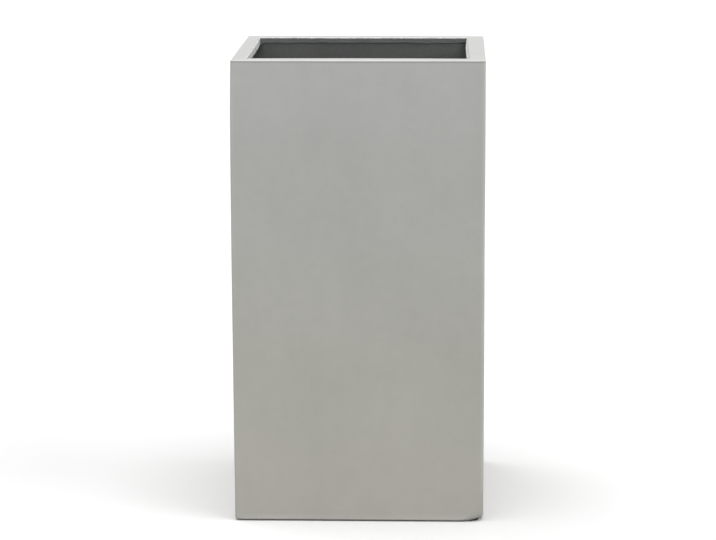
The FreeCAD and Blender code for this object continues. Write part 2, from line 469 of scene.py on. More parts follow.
    def room(self, inset: float, z: float) -> Outline:
        """The outline of the laminate's inner face, taken in by inset.

        Args:
            inset: How far it is taken in.
            z: The height.

        Returns:
            The outline.
        """
        reach = self.wall + inset
        return Outline(
            left=self.low.x + self.left_bow(z) + reach,
            right=self.high.x - reach,
            front=self.low.y + reach,
            back=self.high.y - reach,
            radii=(self.room_corner - inset,) * 4,
        )

    def mouth(self, inset: float) -> Outline:
        """The outline of the mouth, taken in by inset.

        Args:
            inset: How far it is taken in.

        Returns:
            The outline.
        """
        return Outline(
            left=self.low.x + self.rim[Side.LEFT.value] + inset,
            right=self.high.x - self.rim[Side.RIGHT.value] - inset,
            front=self.low.y + self.rim[Side.FRONT.value] + inset,
            back=self.high.y - self.rim[Side.BACK.value] - inset,
            radii=(self.mouth_corner,) * 4,
            bows=self.mouth_bows,
        )

    def foot_opening(self) -> Outline:
        """The outline of the opening inside the foot return.

        Returns:
            The outline.
        """
        reach = self.foot_width
        return Outline(
            left=self.low.x + reach,
            right=self.high.x - reach,
            front=self.low.y + reach,
            back=self.high.y - reach,
            radii=(self.foot_corner,) * 4,
        )


def quarter(steps: int) -> np.ndarray:
    """Angles over a quarter turn, in radians, with both its ends."""
    return np.linspace(0.0, math.pi / 2, steps + 1)


def ring(outline: Outline, z: np.ndarray | float, inset: np.ndarray | float = 0.0) -> np.ndarray:
    """A ring of points on an outline.

    Args:
        outline: The outline to follow.
        z: Height of the ring, or of each of its points.
        inset: How far the points stand in from the outline.

    Returns:
        The points, X, Y and Z.
    """
    points, outwards = outline.trace(SIDE_STEPS, CORNER_STEPS)
    insets = np.broadcast_to(inset, len(points))
    placed = points - outwards * insets[:, None]
    return np.column_stack([placed, np.broadcast_to(z, len(points))])


def between(first: np.ndarray, second: np.ndarray, steps: int) -> list[np.ndarray]:
    """Rings spread evenly between two rings, without the two themselves."""
    return [first + (second - first) * step / (steps + 1) for step in range(1, steps + 1)]


@dataclass(frozen=True)
class Cloud:
    """A cloudy pattern of a finish.

    Attributes:
        scale: Bumps per metre.
        detail: How many finer layers it has.
        roughness: How strong those are.
        distortion: How far the pattern is stirred.
    """

    scale: float
    detail: float = 3.0
    roughness: float = 0.5
    distortion: float = 0.0


class NodeSheet:
    """A tree of nodes, with a short call for each kind of node used here."""

    COLOUR_INPUTS = (6, 7)  # a Mix node's two colours
    COLOUR_OUTPUT = 2  # and its colour output
    STRAND_SEED_TURN = (1.0, 0.7, 1.3)  # how a seed turns strands about X, Y and Z
    STRAND_LAYER_TURN = (1.05, 2.1, 0.8)  # how each layer is turned from the last
    STRAND_LAYERS = 3
    STRAND_EDGES = (0.55, 0.72)  # where the noise turns into a strand
    STRAND_CLOUD = Cloud(1.0, 1.0, distortion=0.3)

    def __init__(self, owner: bpy.types.Material | bpy.types.World, coordinates: str) -> None:
        """Takes over the nodes of a material or a world.

        Args:
            owner: The material or the world.
            coordinates: Which of its coordinates the patterns follow.
        """
        owner.use_nodes = True
        self.owner = owner
        self.tree = owner.node_tree
        self.place = self.node("TexCoord", {}).outputs[coordinates]

    @classmethod
    def material(cls, name: str) -> "NodeSheet":
        """Starts a material whose patterns follow the piece itself."""
        return cls(bpy.data.materials.new(name), "Object")

    def node(self, kind: str, inputs: dict[str, object], **settings: object) -> bpy.types.Node:
        """Adds a node.

        Args:
            kind: The node's type, after "ShaderNode".
            inputs: Values or sockets for its named inputs.
            **settings: Properties of the node itself.

        Returns:
            The node.
        """
        made = self.tree.nodes.new("ShaderNode" + kind)
        for key, value in settings.items():
            setattr(made, key, value)
        for key, value in inputs.items():
            self.feed(made.inputs[key], value)
        return made

    def feed(self, socket: bpy.types.NodeSocket, value: object) -> None:
        """Links a socket to another, or sets its value.

        Args:
            socket: The input.
            value: A socket to link, or a value to set.
        """
        if isinstance(value, bpy.types.NodeSocket):
            self.tree.links.new(value, socket)
        else:
            socket.default_value = value

    def stretched(self, scale: Triple, turn: Triple = (0.0, 0.0, 0.0)) -> bpy.types.NodeSocket:
        """Coordinates turned by angles in radians, then scaled on each axis.

        Args:
            scale: How much finer the pattern is on each axis.
            turn: Angles about X, Y and Z.

        Returns:
            The coordinates' socket.
        """
        turned = self.node("Mapping", {"Vector": self.place, "Rotation": turn})
        scaled = self.node("Mapping", {"Vector": turned.outputs[0], "Scale": scale})
        return scaled.outputs[0]

    def noise(
        self, cloud: Cloud, place: bpy.types.NodeSocket | None = None
    ) -> bpy.types.NodeSocket:
        """Cloudy noise from 0 to 1.

        Args:
            cloud: The pattern.
            place: Coordinates, if not the object's own.

        Returns:
            The noise socket.
        """
        inputs = {
            "Vector": place or self.place,
            "Scale": cloud.scale,
            "Detail": cloud.detail,
            "Roughness": cloud.roughness,
            "Distortion": cloud.distortion,
        }
        return self.node("TexNoise", inputs).outputs[0]

    def remap(self, value: bpy.types.NodeSocket, old: Span, new: Span) -> bpy.types.NodeSocket:
        """Moves a value from one range to another, clamped."""
        inputs = dict(zip(("Value", "From Min", "From Max", "To Min", "To Max"), (value, *old, *new)))
        return self.node("MapRange", inputs).outputs[0]

    def spread(self, value: bpy.types.NodeSocket, low: float, high: float) -> bpy.types.NodeSocket:
        """Spreads what a noise usually holds from low to high."""
        return self.remap(value, USUAL_NOISE, (low, high))

    def rise(self, value: bpy.types.NodeSocket, start: float, end: float) -> bpy.types.NodeSocket:
        """0 up to start, and 1 from end on."""
        return self.remap(value, (start, end), (0.0, 1.0))

    def fall(self, value: bpy.types.NodeSocket, start: float, end: float) -> bpy.types.NodeSocket:
        """1 up to start, and 0 from end on."""
        return self.remap(value, (start, end), (1.0, 0.0))

    def sum(self, kind: Sum, first: object, second: object = 0.0) -> bpy.types.NodeSocket:
        """One sum on two values.

        Args:
            kind: Which sum.
            first: A value or a socket.
            second: The other one.

        Returns:
            The result's socket.
        """
        made = self.node("Math", {}, operation=kind.value)
        self.feed(made.inputs[0], first)
        self.feed(made.inputs[1], second)
        return made.outputs[0]

    def run(self, kind: Sum, *values: object) -> bpy.types.NodeSocket:
        """The same sum over several values, from the first to the last."""
        return reduce(lambda running, value: self.sum(kind, running, value), values)

    def times(self, first: object, second: object) -> bpy.types.NodeSocket:
        """The product of two values."""
        return self.sum(Sum.TIMES, first, second)

    def mix(self, share: object, first: object, second: object) -> bpy.types.NodeSocket:
        """A colour between two colours.

        Args:
            share: How much of the second, 0 to 1.
            first: A colour or a socket.
            second: The other one.

        Returns:
            The colour's socket.
        """
        made = self.node("Mix", {}, data_type="RGBA")
        self.feed(made.inputs[0], share)
        for index, value in zip(self.COLOUR_INPUTS, (first, second)):
            self.feed(made.inputs[index], (*value, 1.0) if isinstance(value, tuple) else value)
        return made.outputs[self.COLOUR_OUTPUT]

    def shade(self, colour: object, factor: bpy.types.NodeSocket) -> bpy.types.NodeSocket:
        """A colour times a factor.

        Args:
            colour: The colour's socket.
            factor: The factor's socket.

        Returns:
            The new colour's socket.
        """
        made = self.node("VectorMath", {}, operation="SCALE")
        self.feed(made.inputs[0], colour)
        self.feed(made.inputs["Scale"], factor)
        return made.outputs[0]

    def ramp(
        self, value: bpy.types.NodeSocket, stops: tuple[tuple[float, Colour], ...]
    ) -> bpy.types.NodeSocket:
        """A run of colours along a value from 0 to 1.

        Args:
            value: The value's socket.
            stops: Positions from 0 to 1, each with its colour.

        Returns:
            The colour's socket.
        """
        made = self.node("ValToRGB", {"Fac": value})
        elements = made.color_ramp.elements
        while len(elements) < len(stops):
            elements.new(0.5)  # between the two that it starts with
        for element, (position, colour) in zip(elements, stops):
            element.position = position
            element.color = (*colour, 1.0)
        return made.outputs[0]

    def along(self, axis: Axis) -> bpy.types.NodeSocket:
        """One of the coordinates."""
        return self.node("SeparateXYZ", {"Vector": self.place}).outputs[axis.value]

    def mask(self, mask: Mask) -> bpy.types.NodeSocket:
        """One of the masks that the mesh carries."""
        return self.node("Attribute", {}, attribute_name=mask.value).outputs["Fac"]

    def relief(
        self,
        height: bpy.types.NodeSocket,
        depth: float,
        before: bpy.types.NodeSocket | None = None,
    ) -> bpy.types.NodeSocket:
        """Relief from a height value.

        Args:
            height: The height, 0 to 1.
            depth: How deep 0 to 1 is, in metres.
            before: The relief that this one lies on.

        Returns:
            The normal socket.
        """
        made = self.node("Bump", {"Height": height, "Distance": depth, "Strength": 1.0})
        if before is not None:
            self.feed(made.inputs["Normal"], before)
        return made.outputs[0]

    def strands(self, length: float, width: float, seed: float) -> bpy.types.NodeSocket:
        """Chopped glass strands lying at random, from 0 to 1.

        Args:
            length: About how long a strand is, in metres.
            width: About how wide it is.
            seed: Turns the layers, so that two finishes differ.

        Returns:
            The strands' height socket.
        """
        layers = []
        for index in range(self.STRAND_LAYERS):
            turns = zip(self.STRAND_SEED_TURN, self.STRAND_LAYER_TURN)
            turn = tuple(seed * first + index * more for first, more in turns)
            place = self.stretched((1 / length, 1 / width, 1 / width), turn)
            cloud = self.noise(self.STRAND_CLOUD, place)
            layers.append(self.rise(cloud, *self.STRAND_EDGES))
        return self.run(Sum.HIGHEST, *layers)

    def dress(
        self, colour: object, roughness: object, relief: bpy.types.NodeSocket | None = None
    ) -> bpy.types.Material:
        """Feeds the material's shader.

        Args:
            colour: Its colour.
            roughness: Its roughness.
            relief: The relief on it, if it has one.

        Returns:
            The material.
        """
        shader = self.tree.nodes["Principled BSDF"]
        self.feed(shader.inputs["Base Color"], colour)
        self.feed(shader.inputs["Roughness"], roughness)
        if relief is not None:
            self.feed(shader.inputs["Normal"], relief)
        return self.owner


@dataclass(frozen=True)
class FaceCoatFinish:
    """Pale satin face coat, cooler at the top and warmer at the foot, faintly
    clouded and streaked. Painted light makes it lighter at the top and towards the
    left; painted shade lines lie under the rim and beside the mouth, and painted
    highlight on the rim's front and back bands and on the mouth's arris.

    Attributes:
        top: Height of the rim.
        tones: Colour at shares of the height; lighter at the top as painted light.
        rubbed_and_highlight: Colour of worn edges, and of the painted highlight on the
            rim's front and back bands and on the mouth's arris.
        rubbing: How far worn and highlit places show it, in its grain's hollows and
            on its tops.
        cloud: How far the clouds lighten and darken the coat.
        mottling: The same for the finer mottling between them.
        streaking: The same for the faint upright streaks.
        graining: The same for the grain.
        rim_shade: How much darker the painted shade line under the rim is.
        line_drop: How far under the rim's top that line lies.
        line_wander: How far it wanders up and down.
        line_edges: How far from its middle it is full, and where it ends.
        mouth_shade: How much darker the painted shade line beside the mouth is.
        left_painted_light: How much lighter the walls are painted towards their left, as painted light.
        left_reach: Where across the planter that is full, and where it ends.
        left_fade: How far below the rim's top it is full; it starts at that top.
        pit: How much darker a pinhole is.
        pit_edges: How far from its middle a pinhole is full, and where it ends.
        pit_patches: Where the noise lets pinholes through.
        satin: Lowest and highest roughness.
        clouds: Pattern of the clouds.
        streaks: Pattern of the streaks.
        streak_scale: How close the streaks lie along X, Y and Z, per metre.
        mottle: Pattern of the mottling.
        grains: Pattern of the grain.
        peel: Pattern of the orange peel.
        line_clouds: Pattern of the painted shade line's wander.
        pit_scale: Pinholes per metre.
        pit_clouds: Pattern of their patches.
        peel_relief: Depth of the orange peel.
        grain_relief: Depth of the grain.
        pit_relief: Depth of the pinholes.
    """

    top: float
    # Painted light: the ramp is lighter at the top.
    tones: tuple[tuple[float, Colour], ...] = (
        (0.0, paint(168, 166, 159)),
        (0.35, paint(167, 166, 159)),
        (0.66, paint(168, 168, 164)),
        (0.83, paint(168, 168, 165)),
        (1.0, paint(173, 173, 171)),
    )
    # Pale colour of worn edges, also the painted highlight on the rim's front and back bands and the
    # mouth's arris.
    rubbed_and_highlight: Colour = paint(226, 226, 223)
    rubbing: Span = (0.5, 0.9)
    cloud: float = 0.035
    mottling: float = 0.018
    streaking: float = 0.012
    graining: float = 0.02
    rim_shade: float = 0.26
    line_drop: float = 2.5 * MM
    line_wander: float = 0.3 * MM
    line_edges: Span = (0.5 * MM, 1.5 * MM)
    mouth_shade: float = 0.55
    left_painted_light: float = 0.018
    left_reach: Span = (-190 * MM, -80 * MM)
    left_fade: float = 30 * MM
    pit: float = 0.25
    pit_edges: Span = (0.03, 0.07)
    pit_patches: Span = (0.60, 0.66)
    satin: Span = (0.40, 0.52)
    clouds: Cloud = Cloud(5.5, 5.0, 0.55, 0.6)
    streaks: Cloud = Cloud(1.0, 4.0)
    streak_scale: Triple = (26.0, 26.0, 3.5)
    mottle: Cloud = Cloud(62.0, 3.0, 0.6)
    grains: Cloud = Cloud(950.0, 2.0)
    peel: Cloud = Cloud(210.0, 2.0)
    line_clouds: Cloud = Cloud(12.0)
    pit_scale: float = 95.0
    pit_clouds: Cloud = Cloud(31.0, 1.0)
    peel_relief: float = 0.12 * MM
    grain_relief: float = 0.03 * MM
    pit_relief: float = 0.15 * MM

    def rim_shade_line(self, sheet: NodeSheet) -> bpy.types.NodeSocket:
        """A painted shade line just under the rim's rounded edge.

        Args:
            sheet: The nodes to add to.

        Returns:
            Its socket, 1 in the line.
        """
        wander = sheet.spread(sheet.noise(self.line_clouds), -self.line_wander, self.line_wander)
        level = sheet.sum(Sum.LESS, sheet.along(Axis.Z), self.top - self.line_drop)
        away = sheet.sum(Sum.SIZE, sheet.sum(Sum.ADD, level, wander))
        return sheet.fall(away, *self.line_edges)

    def left_light_share(self, sheet: NodeSheet) -> bpy.types.NodeSocket:
        """How far to the left a place on the walls is, and 0 on the rim; it places the painted light.

        Args:
            sheet: The nodes to add to.

        Returns:
            Its socket, 0 to 1.
        """
        beside = sheet.fall(sheet.along(Axis.X), *self.left_reach)
        below = sheet.fall(sheet.along(Axis.Z), self.top - self.left_fade, self.top)
        return sheet.times(beside, below)

    def pinholes(self, sheet: NodeSheet) -> bpy.types.NodeSocket:
        """Where the coat has pinholes, in rare patches.

        Args:
            sheet: The nodes to add to.

        Returns:
            Their socket, 1 in a pinhole.
        """
        cells = sheet.node("TexVoronoi", {"Vector": sheet.place, "Scale": self.pit_scale}).outputs[0]
        rare = sheet.rise(sheet.noise(self.pit_clouds), *self.pit_patches)
        return sheet.times(sheet.fall(cells, *self.pit_edges), rare)

    def build(self) -> bpy.types.Material:
        """Makes the material.

        Returns:
            The material.
        """
        sheet = NodeSheet.material("face_coat")
        tone = sheet.ramp(sheet.rise(sheet.along(Axis.Z), 0.0, self.top), self.tones)
        clouds = sheet.noise(self.clouds)
        streaks = sheet.noise(self.streaks, sheet.stretched(self.streak_scale))
        mottle = sheet.noise(self.mottle)
        grains = sheet.noise(self.grains)
        pits = self.pinholes(sheet)
        factor = sheet.run(
            Sum.ADD,
            sheet.spread(mottle, -self.mottling, self.mottling),
            sheet.spread(clouds, 1.0 - self.cloud, 1.0 + self.cloud),
            sheet.spread(streaks, -self.streaking, self.streaking),
            sheet.spread(grains, -self.graining, self.graining),
            # Painted shade: a dark line just under the rim's edge.
            sheet.times(self.rim_shade_line(sheet), -self.rim_shade),
            # Painted shade: a dark line beside the mouth's right side.
            sheet.times(sheet.mask(Mask.MOUTH_SHADE), -self.mouth_shade),
            # Painted light: the walls are lighter towards the left.
            sheet.times(self.left_light_share(sheet), self.left_painted_light),
            sheet.times(pits, -self.pit),
        )
        # Worn edges, and painted highlight on the rim's front and back bands and the mouth's arris.
        worn = sheet.times(sheet.mask(Mask.WEAR_AND_HIGHLIGHT), sheet.spread(grains, *self.rubbing))
        colour = sheet.mix(worn, sheet.shade(tone, factor), self.rubbed_and_highlight)
        peel = sheet.relief(sheet.noise(self.peel), self.peel_relief)
        grain = sheet.relief(grains, self.grain_relief, peel)
        pitted = sheet.relief(sheet.sum(Sum.LESS, 1.0, pits), self.pit_relief, grain)
        return sheet.dress(colour, sheet.spread(clouds, *self.satin), pitted)


@dataclass(frozen=True)
class LaminateFinish:
    """Dark pigmented glass mat: strands show under uneven resin.

    Attributes:
        resin: Colour of the pigmented resin.
        strand: Colour of the strands near its surface.
        bare: How far the strands stand out, 0 to 1.
        strand_size: Length and width of a strand.
        strand_seed: Turns the strands.
        clouds: Pattern of the clouds.
        grains: Pattern of the grain.
        lumps: Pattern of the lumps.
        clouding: Darkest and lightest of the clouds.
        graining: How far the grain lightens and darkens it.
        pooling: Where in the clouds the resin starts to pool, and where it is whole.
        sheen: Roughness of bare mat and of pooled resin.
        rich: How much less rough the resin-rich places are.
        lump_relief: Depth of the lumps.
        strand_relief: Depth of the strands.
        grain_relief: Depth of the grain.
    """

    resin: Colour = paint(112, 114, 112)
    strand: Colour = paint(124, 127, 124)
    bare: float = 0.6
    strand_size: Span = (34 * MM, 1.3 * MM)
    strand_seed: float = 0.4
    clouds: Cloud = Cloud(9.0, 4.0, distortion=0.4)
    grains: Cloud = Cloud(700.0, 2.0)
    lumps: Cloud = Cloud(120.0, 3.0)
    clouding: Span = (0.90, 1.08)
    graining: float = 0.05
    pooling: Span = (0.35, 0.65)
    sheen: Span = (0.62, 0.42)
    rich: float = 0.15
    lump_relief: float = 0.5 * MM
    strand_relief: float = 0.16 * MM
    grain_relief: float = 0.03 * MM

    def build(self) -> bpy.types.Material:
        """Makes the material.

        Returns:
            The material.
        """
        sheet = NodeSheet.material("dark_laminate")
        strands = sheet.strands(*self.strand_size, self.strand_seed)
        clouds = sheet.noise(self.clouds)
        grains = sheet.noise(self.grains)
        tone = sheet.mix(sheet.times(strands, self.bare), self.resin, self.strand)
        grained = sheet.spread(grains, -self.graining, self.graining)
        factor = sheet.sum(Sum.ADD, sheet.spread(clouds, *self.clouding), grained)
        pooled = sheet.remap(clouds, self.pooling, self.sheen)
        rough = sheet.sum(Sum.ADD, pooled, sheet.times(sheet.mask(Mask.RESIN), -self.rich))
        lumps = sheet.relief(sheet.noise(self.lumps), self.lump_relief)
        mat = sheet.relief(strands, self.strand_relief, lumps)
        grain = sheet.relief(grains, self.grain_relief, mat)
        return sheet.dress(sheet.shade(tone, factor), rough, grain)


@dataclass(frozen=True)
class Strokes:
    """Brush strokes that lie one way.

    Attributes:
        scale: How close they lie along X, Y and Z, per metre.
        turn: How they lie, as angles about X, Y and Z in radians.
        edges: Where the noise turns into a stroke.
        strength: How far they show.
        detail: How many finer layers they have.
    """

    scale: Triple
    turn: Triple
    edges: Span
    strength: float = 1.0
    detail: float = 3.0

    def noise(self, sheet: NodeSheet) -> bpy.types.NodeSocket:
        """The noise that they are drawn from."""
        return sheet.noise(Cloud(1.0, self.detail), sheet.stretched(self.scale, self.turn))

    def drawn(self, sheet: NodeSheet, noise_socket: bpy.types.NodeSocket) -> bpy.types.NodeSocket:
        """Where they show, from 0 to their strength."""
        return sheet.remap(noise_socket, self.edges, (0.0, self.strength))


@dataclass(frozen=True)
class LipResinFinish:
    """Resin brushed over the trimmed lip: pale, hatched by glass ends and the
    brush, and painted over dark at the back and the front.

    Attributes:
        pale: Colour of the bare resin.
        streak: Colour of the broad brush strokes.
        dusty: Colour in the scratches.
        dark: Colour of the overpaint.
        brush: Fine strokes down the lip.
        crossing: Fine strokes across them.
        broad: Broad strokes.
        ends: Pattern of the glass ends.
        end_edges: Where that turns into glass ends.
        end_strength: How far those show.
        paint_sway: How far the strokes wear and thicken the overpaint's edge.
        sway_range: Values of the strokes between which they do.
        paint_edges: Where the overpaint starts, and where it covers.
        roughness: Lowest and highest roughness.
        stroke_relief: Depth of the strokes.
        end_relief: Depth of the glass ends.
    """

    pale: Colour = paint(243, 244, 242)
    streak: Colour = paint(210, 211, 209)
    dusty: Colour = paint(184, 185, 183)
    dark: Colour = paint(93, 95, 94)
    brush: Strokes = Strokes((420.0, 760.0, 85.0), (0.62, 0.0, 0.0), (0.54, 0.66), 0.6)
    crossing: Strokes = Strokes((420.0, 620.0, 95.0), (-0.75, 0.0, 0.3), (0.58, 0.70), 0.4)
    broad: Strokes = Strokes((60.0, 110.0, 30.0), (0.5, 0.0, 0.0), (0.46, 0.54), detail=1.5)
    ends: Cloud = Cloud(520.0, 2.0)
    end_edges: Span = (0.60, 0.78)
    end_strength: float = 0.4
    paint_sway: float = 0.3
    sway_range: Span = (0.2, 0.8)
    paint_edges: Span = (0.42, 0.58)
    roughness: Span = (0.45, 0.7)
    stroke_relief: float = 0.22 * MM
    end_relief: float = 0.10 * MM

    def build(self) -> bpy.types.Material:
        """Makes the material.

        Returns:
            The material.
        """
        sheet = NodeSheet.material("lip_resin")
        strokes = self.brush.noise(sheet)
        crossing = self.crossing.drawn(sheet, self.crossing.noise(sheet))
        broad = self.broad.drawn(sheet, self.broad.noise(sheet))
        ends = sheet.noise(self.ends)
        combed = sheet.sum(Sum.HIGHEST, self.brush.drawn(sheet, strokes), crossing)
        speckles = sheet.remap(ends, self.end_edges, (0.0, self.end_strength))
        speckled = sheet.sum(Sum.ADD, combed, speckles)
        # Along the lower edge the strokes give way to pale resin: smooth resin there, and partly a
        # painted highlight.
        edge = sheet.sum(Sum.LESS, 1.0, sheet.mask(Mask.RESIN))
        brushed = sheet.mix(sheet.times(broad, edge), self.pale, self.streak)
        bare = sheet.mix(sheet.times(speckled, edge), brushed, self.dusty)
        sway = sheet.remap(strokes, self.sway_range, (-self.paint_sway, self.paint_sway))
        ragged = sheet.sum(Sum.ADD, sheet.mask(Mask.PAINTED), sway)
        colour = sheet.mix(sheet.rise(ragged, *self.paint_edges), bare, self.dark)
        stroked = sheet.relief(strokes, self.stroke_relief)
        relief = sheet.relief(ends, self.end_relief, stroked)
        return sheet.dress(colour, sheet.spread(strokes, *self.roughness), relief)


@dataclass(frozen=True)
class RubberFinish:
    """Matt black moulded rubber with a little dust.

    Attributes:
        rubber: Colour of the rubber.
        dust: Colour of the dust on it.
        clouds: Pattern of the dust's clouds.
        specks: Pattern of its specks.
        dusty: Where in the clouds the dust starts, and where it is thickest.
        thickness: Thinnest and thickest dust.
        roughness: Lowest and highest roughness.
        speck_relief: Depth of the specks.
    """

    rubber: Colour = paint(42, 42, 43)
    dust: Colour = paint(104, 102, 98)
    clouds: Cloud = Cloud(160.0, 5.0, 0.6)
    specks: Cloud = Cloud(1500.0, 1.0)
    dusty: Span = (0.42, 0.75)
    thickness: Span = (0.05, 0.7)
    roughness: Span = (0.6, 0.8)
    speck_relief: float = 0.05 * MM

    def build(self) -> bpy.types.Material:
        """Makes the material.

        Returns:
            The material.
        """
        sheet = NodeSheet.material("black_rubber")
        clouds = sheet.noise(self.clouds)
        specks = sheet.noise(self.specks)
        dusted = sheet.times(sheet.remap(clouds, self.dusty, self.thickness), specks)
        colour = sheet.mix(dusted, self.rubber, self.dust)
        relief = sheet.relief(specks, self.speck_relief)
        return sheet.dress(colour, sheet.spread(clouds, *self.roughness), relief)


@dataclass(frozen=True)
class Finishes:
    """The planter's materials."""

    face_coat: bpy.types.Material
    laminate: bpy.types.Material
    lip: bpy.types.Material
    rubber: bpy.types.Material

    @classmethod
    def build(cls, body: BodyForm) -> "Finishes":
        """Makes all of them for a planter of this form.

        Args:
            body: The planter's form.

        Returns:
            The materials.
        """
        return cls(
            face_coat=FaceCoatFinish(top=body.high.z).build(),
            laminate=LaminateFinish().build(),
            lip=LipResinFinish().build(),
            rubber=RubberFinish().build(),
        )


def fit(
    piece: bpy.types.Object, material: bpy.types.Material, body: str, node: str
) -> bpy.types.Object:
    """Dresses a piece and puts it in the place of its solid.

    Args:
        piece: The finished mesh.
        material: Its material.
        body: The body it moves with.
        node: The solid that it stands for.

    Returns:
        The piece.
    """
    piece.data.materials.append(material)
    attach(piece, body)
    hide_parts(node)
    log.info("%s: %d faces", piece.name, len(piece.data.polygons))
    return piece


@dataclass
class OuterShell:
    """The pale face coat: walls, returned rim and foot return.

    Attributes:
        body: The planter's form.
        rim_radius: Outer edge of the rim.
        sway: How far the walls wander inwards.
        rim_sway: How far the rim dips.
        trim_sway: How far the trimmed edge of the mouth wanders.
        edge_reach: How far the rounding of an edge is felt on the faces beside it.
        rim_highlight_reach: How far in from the front and the back the rim's painted
            highlight reaches.
        rubbed_reach: How far from an edge the rubbing reaches.
        rubbed_upright: How worn the upright edges are.
        rubbed_foot: How worn the foot's edge is.
        rubbed_rim: How worn the rim is everywhere.
        rim_highlight: How much more the rim's front and back bands are lightened, as
            painted highlight.
        rim_share: Depth below the rim's top that counts as rim, as a share of its
            radius.
        arris: How light the sharp edge of the mouth is painted, as a painted highlight.
        arris_size: How wide that edge is eased.
        mouth_shade_insets: Rings over the painted shade line beside the mouth, counted
            from the mouth's edge: its two faded sides and, between them, its two edges.
        mouth_shade_fade: Shares of the mouth's depth where that painted shade is whole
            and where it has faded out.
        wall_steps: Rings up the walls.
        rim_steps: Rings across the rim.
        wall_ripples: Wander of the walls.
        rim_ripple: Dips of the rim.
        trim_ripples: Wander of the trimmed edge.
        rubbed_ripple: Patches of rubbing.
        mouth_shade_ripple: Patches of the painted shade line beside the mouth.
    """

    body: BodyForm
    rim_radius: float = 1.6 * MM
    sway: float = 0.55 * MM
    rim_sway: float = 0.35 * MM
    trim_sway: float = 0.8 * MM
    edge_reach: float = 5.0 * MM
    rim_highlight_reach: float = 20.0 * MM
    rubbed_reach: float = 6.5 * MM
    rubbed_upright: float = 0.4
    rubbed_foot: float = 0.5
    rubbed_rim: float = 0.2
    rim_highlight: float = 0.75
    rim_share: float = 0.6
    arris: float = 0.4
    arris_size: float = 0.4 * MM
    mouth_shade_insets: tuple[float, ...] = (2.8 * MM, 2.2 * MM, 1.2 * MM, 0.7 * MM)
    mouth_shade_fade: Span = (0.5, 0.9)
    wall_steps: int = 84
    rim_steps: int = 9
    wall_ripples: tuple[Ripple, ...] = (Ripple(190 * MM, 1.0, 0.35), Ripple(60 * MM, 2.0, 0.15))
    rim_ripple: Ripple = Ripple(80 * MM, 3.0, 0.5)
    trim_ripples: tuple[Ripple, ...] = (Ripple(48 * MM, 5.0, 0.4), Ripple(9 * MM, 6.0, 0.125))
    rubbed_ripple: Ripple = Ripple(70 * MM, 8.0, 0.4)
    mouth_shade_ripple: Ripple = Ripple(25 * MM, 9.0, 0.2)

    def outer_rings(self) -> list[np.ndarray]:
        """Rings up the outside, from the flat under the foot to the flat of the rim.

        Returns:
            The rings.
        """
        top = self.body.high.z
        rings = self.body.foot_arc(0.0)
        start = rings[-1][:, 2]
        for share in np.linspace(0.0, 1.0, self.wall_steps)[1:]:
            z = start + (top - self.rim_radius - start) * share
            rings.append(ring(self.body.outside(float(z.mean())), z))
        for angle in quarter(EDGE_STEPS)[1:]:
            z = top - self.rim_radius * (1 - math.sin(angle))
            inset = self.rim_radius * (1 - math.cos(angle))
            rings.append(ring(self.body.outside(z), z, inset))
        return rings

    def trimmed_mouth(self, inset: float, z: float) -> np.ndarray:
        """The mouth's edge as the trimming tool left it.

        Args:
            inset: How far into the mouth it is moved.
            z: Its height.

        Returns:
            The ring.
        """
        edge = ring(self.body.mouth(0.0), z)
        outwards = self.body.mouth(0.0).trace(SIDE_STEPS, CORNER_STEPS)[1]
        wander = self.trim_sway * layered(edge, self.trim_ripples)
        edge[:, :2] += outwards * (wander - inset)[:, None]
        return edge

    def sway_walls(self, points: np.ndarray) -> np.ndarray:
        """Lets the walls wander inwards and the rim dip, as hand-laid faces do.

        Args:
            points: The points, X, Y and Z.

        Returns:
            The points, moved.
        """
        low, high = self.body.low, self.body.high
        amount = self.sway * np.clip(layered(points, self.wall_ripples), 0.0, 1.0)
        swayed = points.copy()
        for axis in (0, 1):
            near_low = near(points[:, axis] - low[axis], self.edge_reach)
            near_high = near(high[axis] - points[:, axis], self.edge_reach)
            swayed[:, axis] += amount * (near_low - near_high)
        dip = self.rim_sway * self.rim_ripple.patches(points)
        swayed[:, 2] -= dip * near(high.z - points[:, 2], self.rim_radius)
        return swayed

    def wear_and_highlight_mask(self, points: np.ndarray) -> np.ndarray:
        """How light each point is made: worn upright edges, rim and foot, in patches, and painted
        highlight on the rim's front and back bands.

        Args:
            points: The points, X, Y and Z.

        Returns:
            0 where there is neither wear nor painted highlight, up to 1.
        """
        low, high = self.body.low, self.body.high
        from_x = np.minimum(points[:, 0] - low.x, high.x - points[:, 0])
        from_y = np.minimum(points[:, 1] - low.y, high.y - points[:, 1])
        upright = near(np.maximum(from_x, from_y), self.rubbed_reach)
        side = near(np.minimum(from_x, from_y), self.rubbed_reach)
        on_top = near(high.z - points[:, 2], self.rim_share * self.rim_radius)
        # Painted highlight: the rim's front and back bands are lighter.
        highlit = near(from_y, self.rim_highlight_reach)
        rim = on_top * (self.rubbed_rim + self.rim_highlight * highlit)
        foot = self.rubbed_foot * side * near(points[:, 2] - low.z, self.rubbed_reach)
        worn = np.maximum(np.maximum(self.rubbed_upright * upright, rim), foot)
        return np.clip(worn * self.rubbed_ripple.patches(points), 0.0, 1.0)

    def mouth_shade_mask(self, points: np.ndarray) -> np.ndarray:
        """How dark the painted shade line is: right of the mouth, fading towards the back.

        Args:
            points: The points, X, Y and Z.

        Returns:
            0 where there is none, up to 1.
        """
        mouth = self.body.mouth(0.0)
        beside = past(points[:, 0], mouth.right - self.edge_reach, mouth.right)
        share = (points[:, 1] - mouth.front) / (mouth.back - mouth.front)
        whole, gone = self.mouth_shade_fade
        return beside * past(share, gone, whole) * self.mouth_shade_ripple.patches(points)

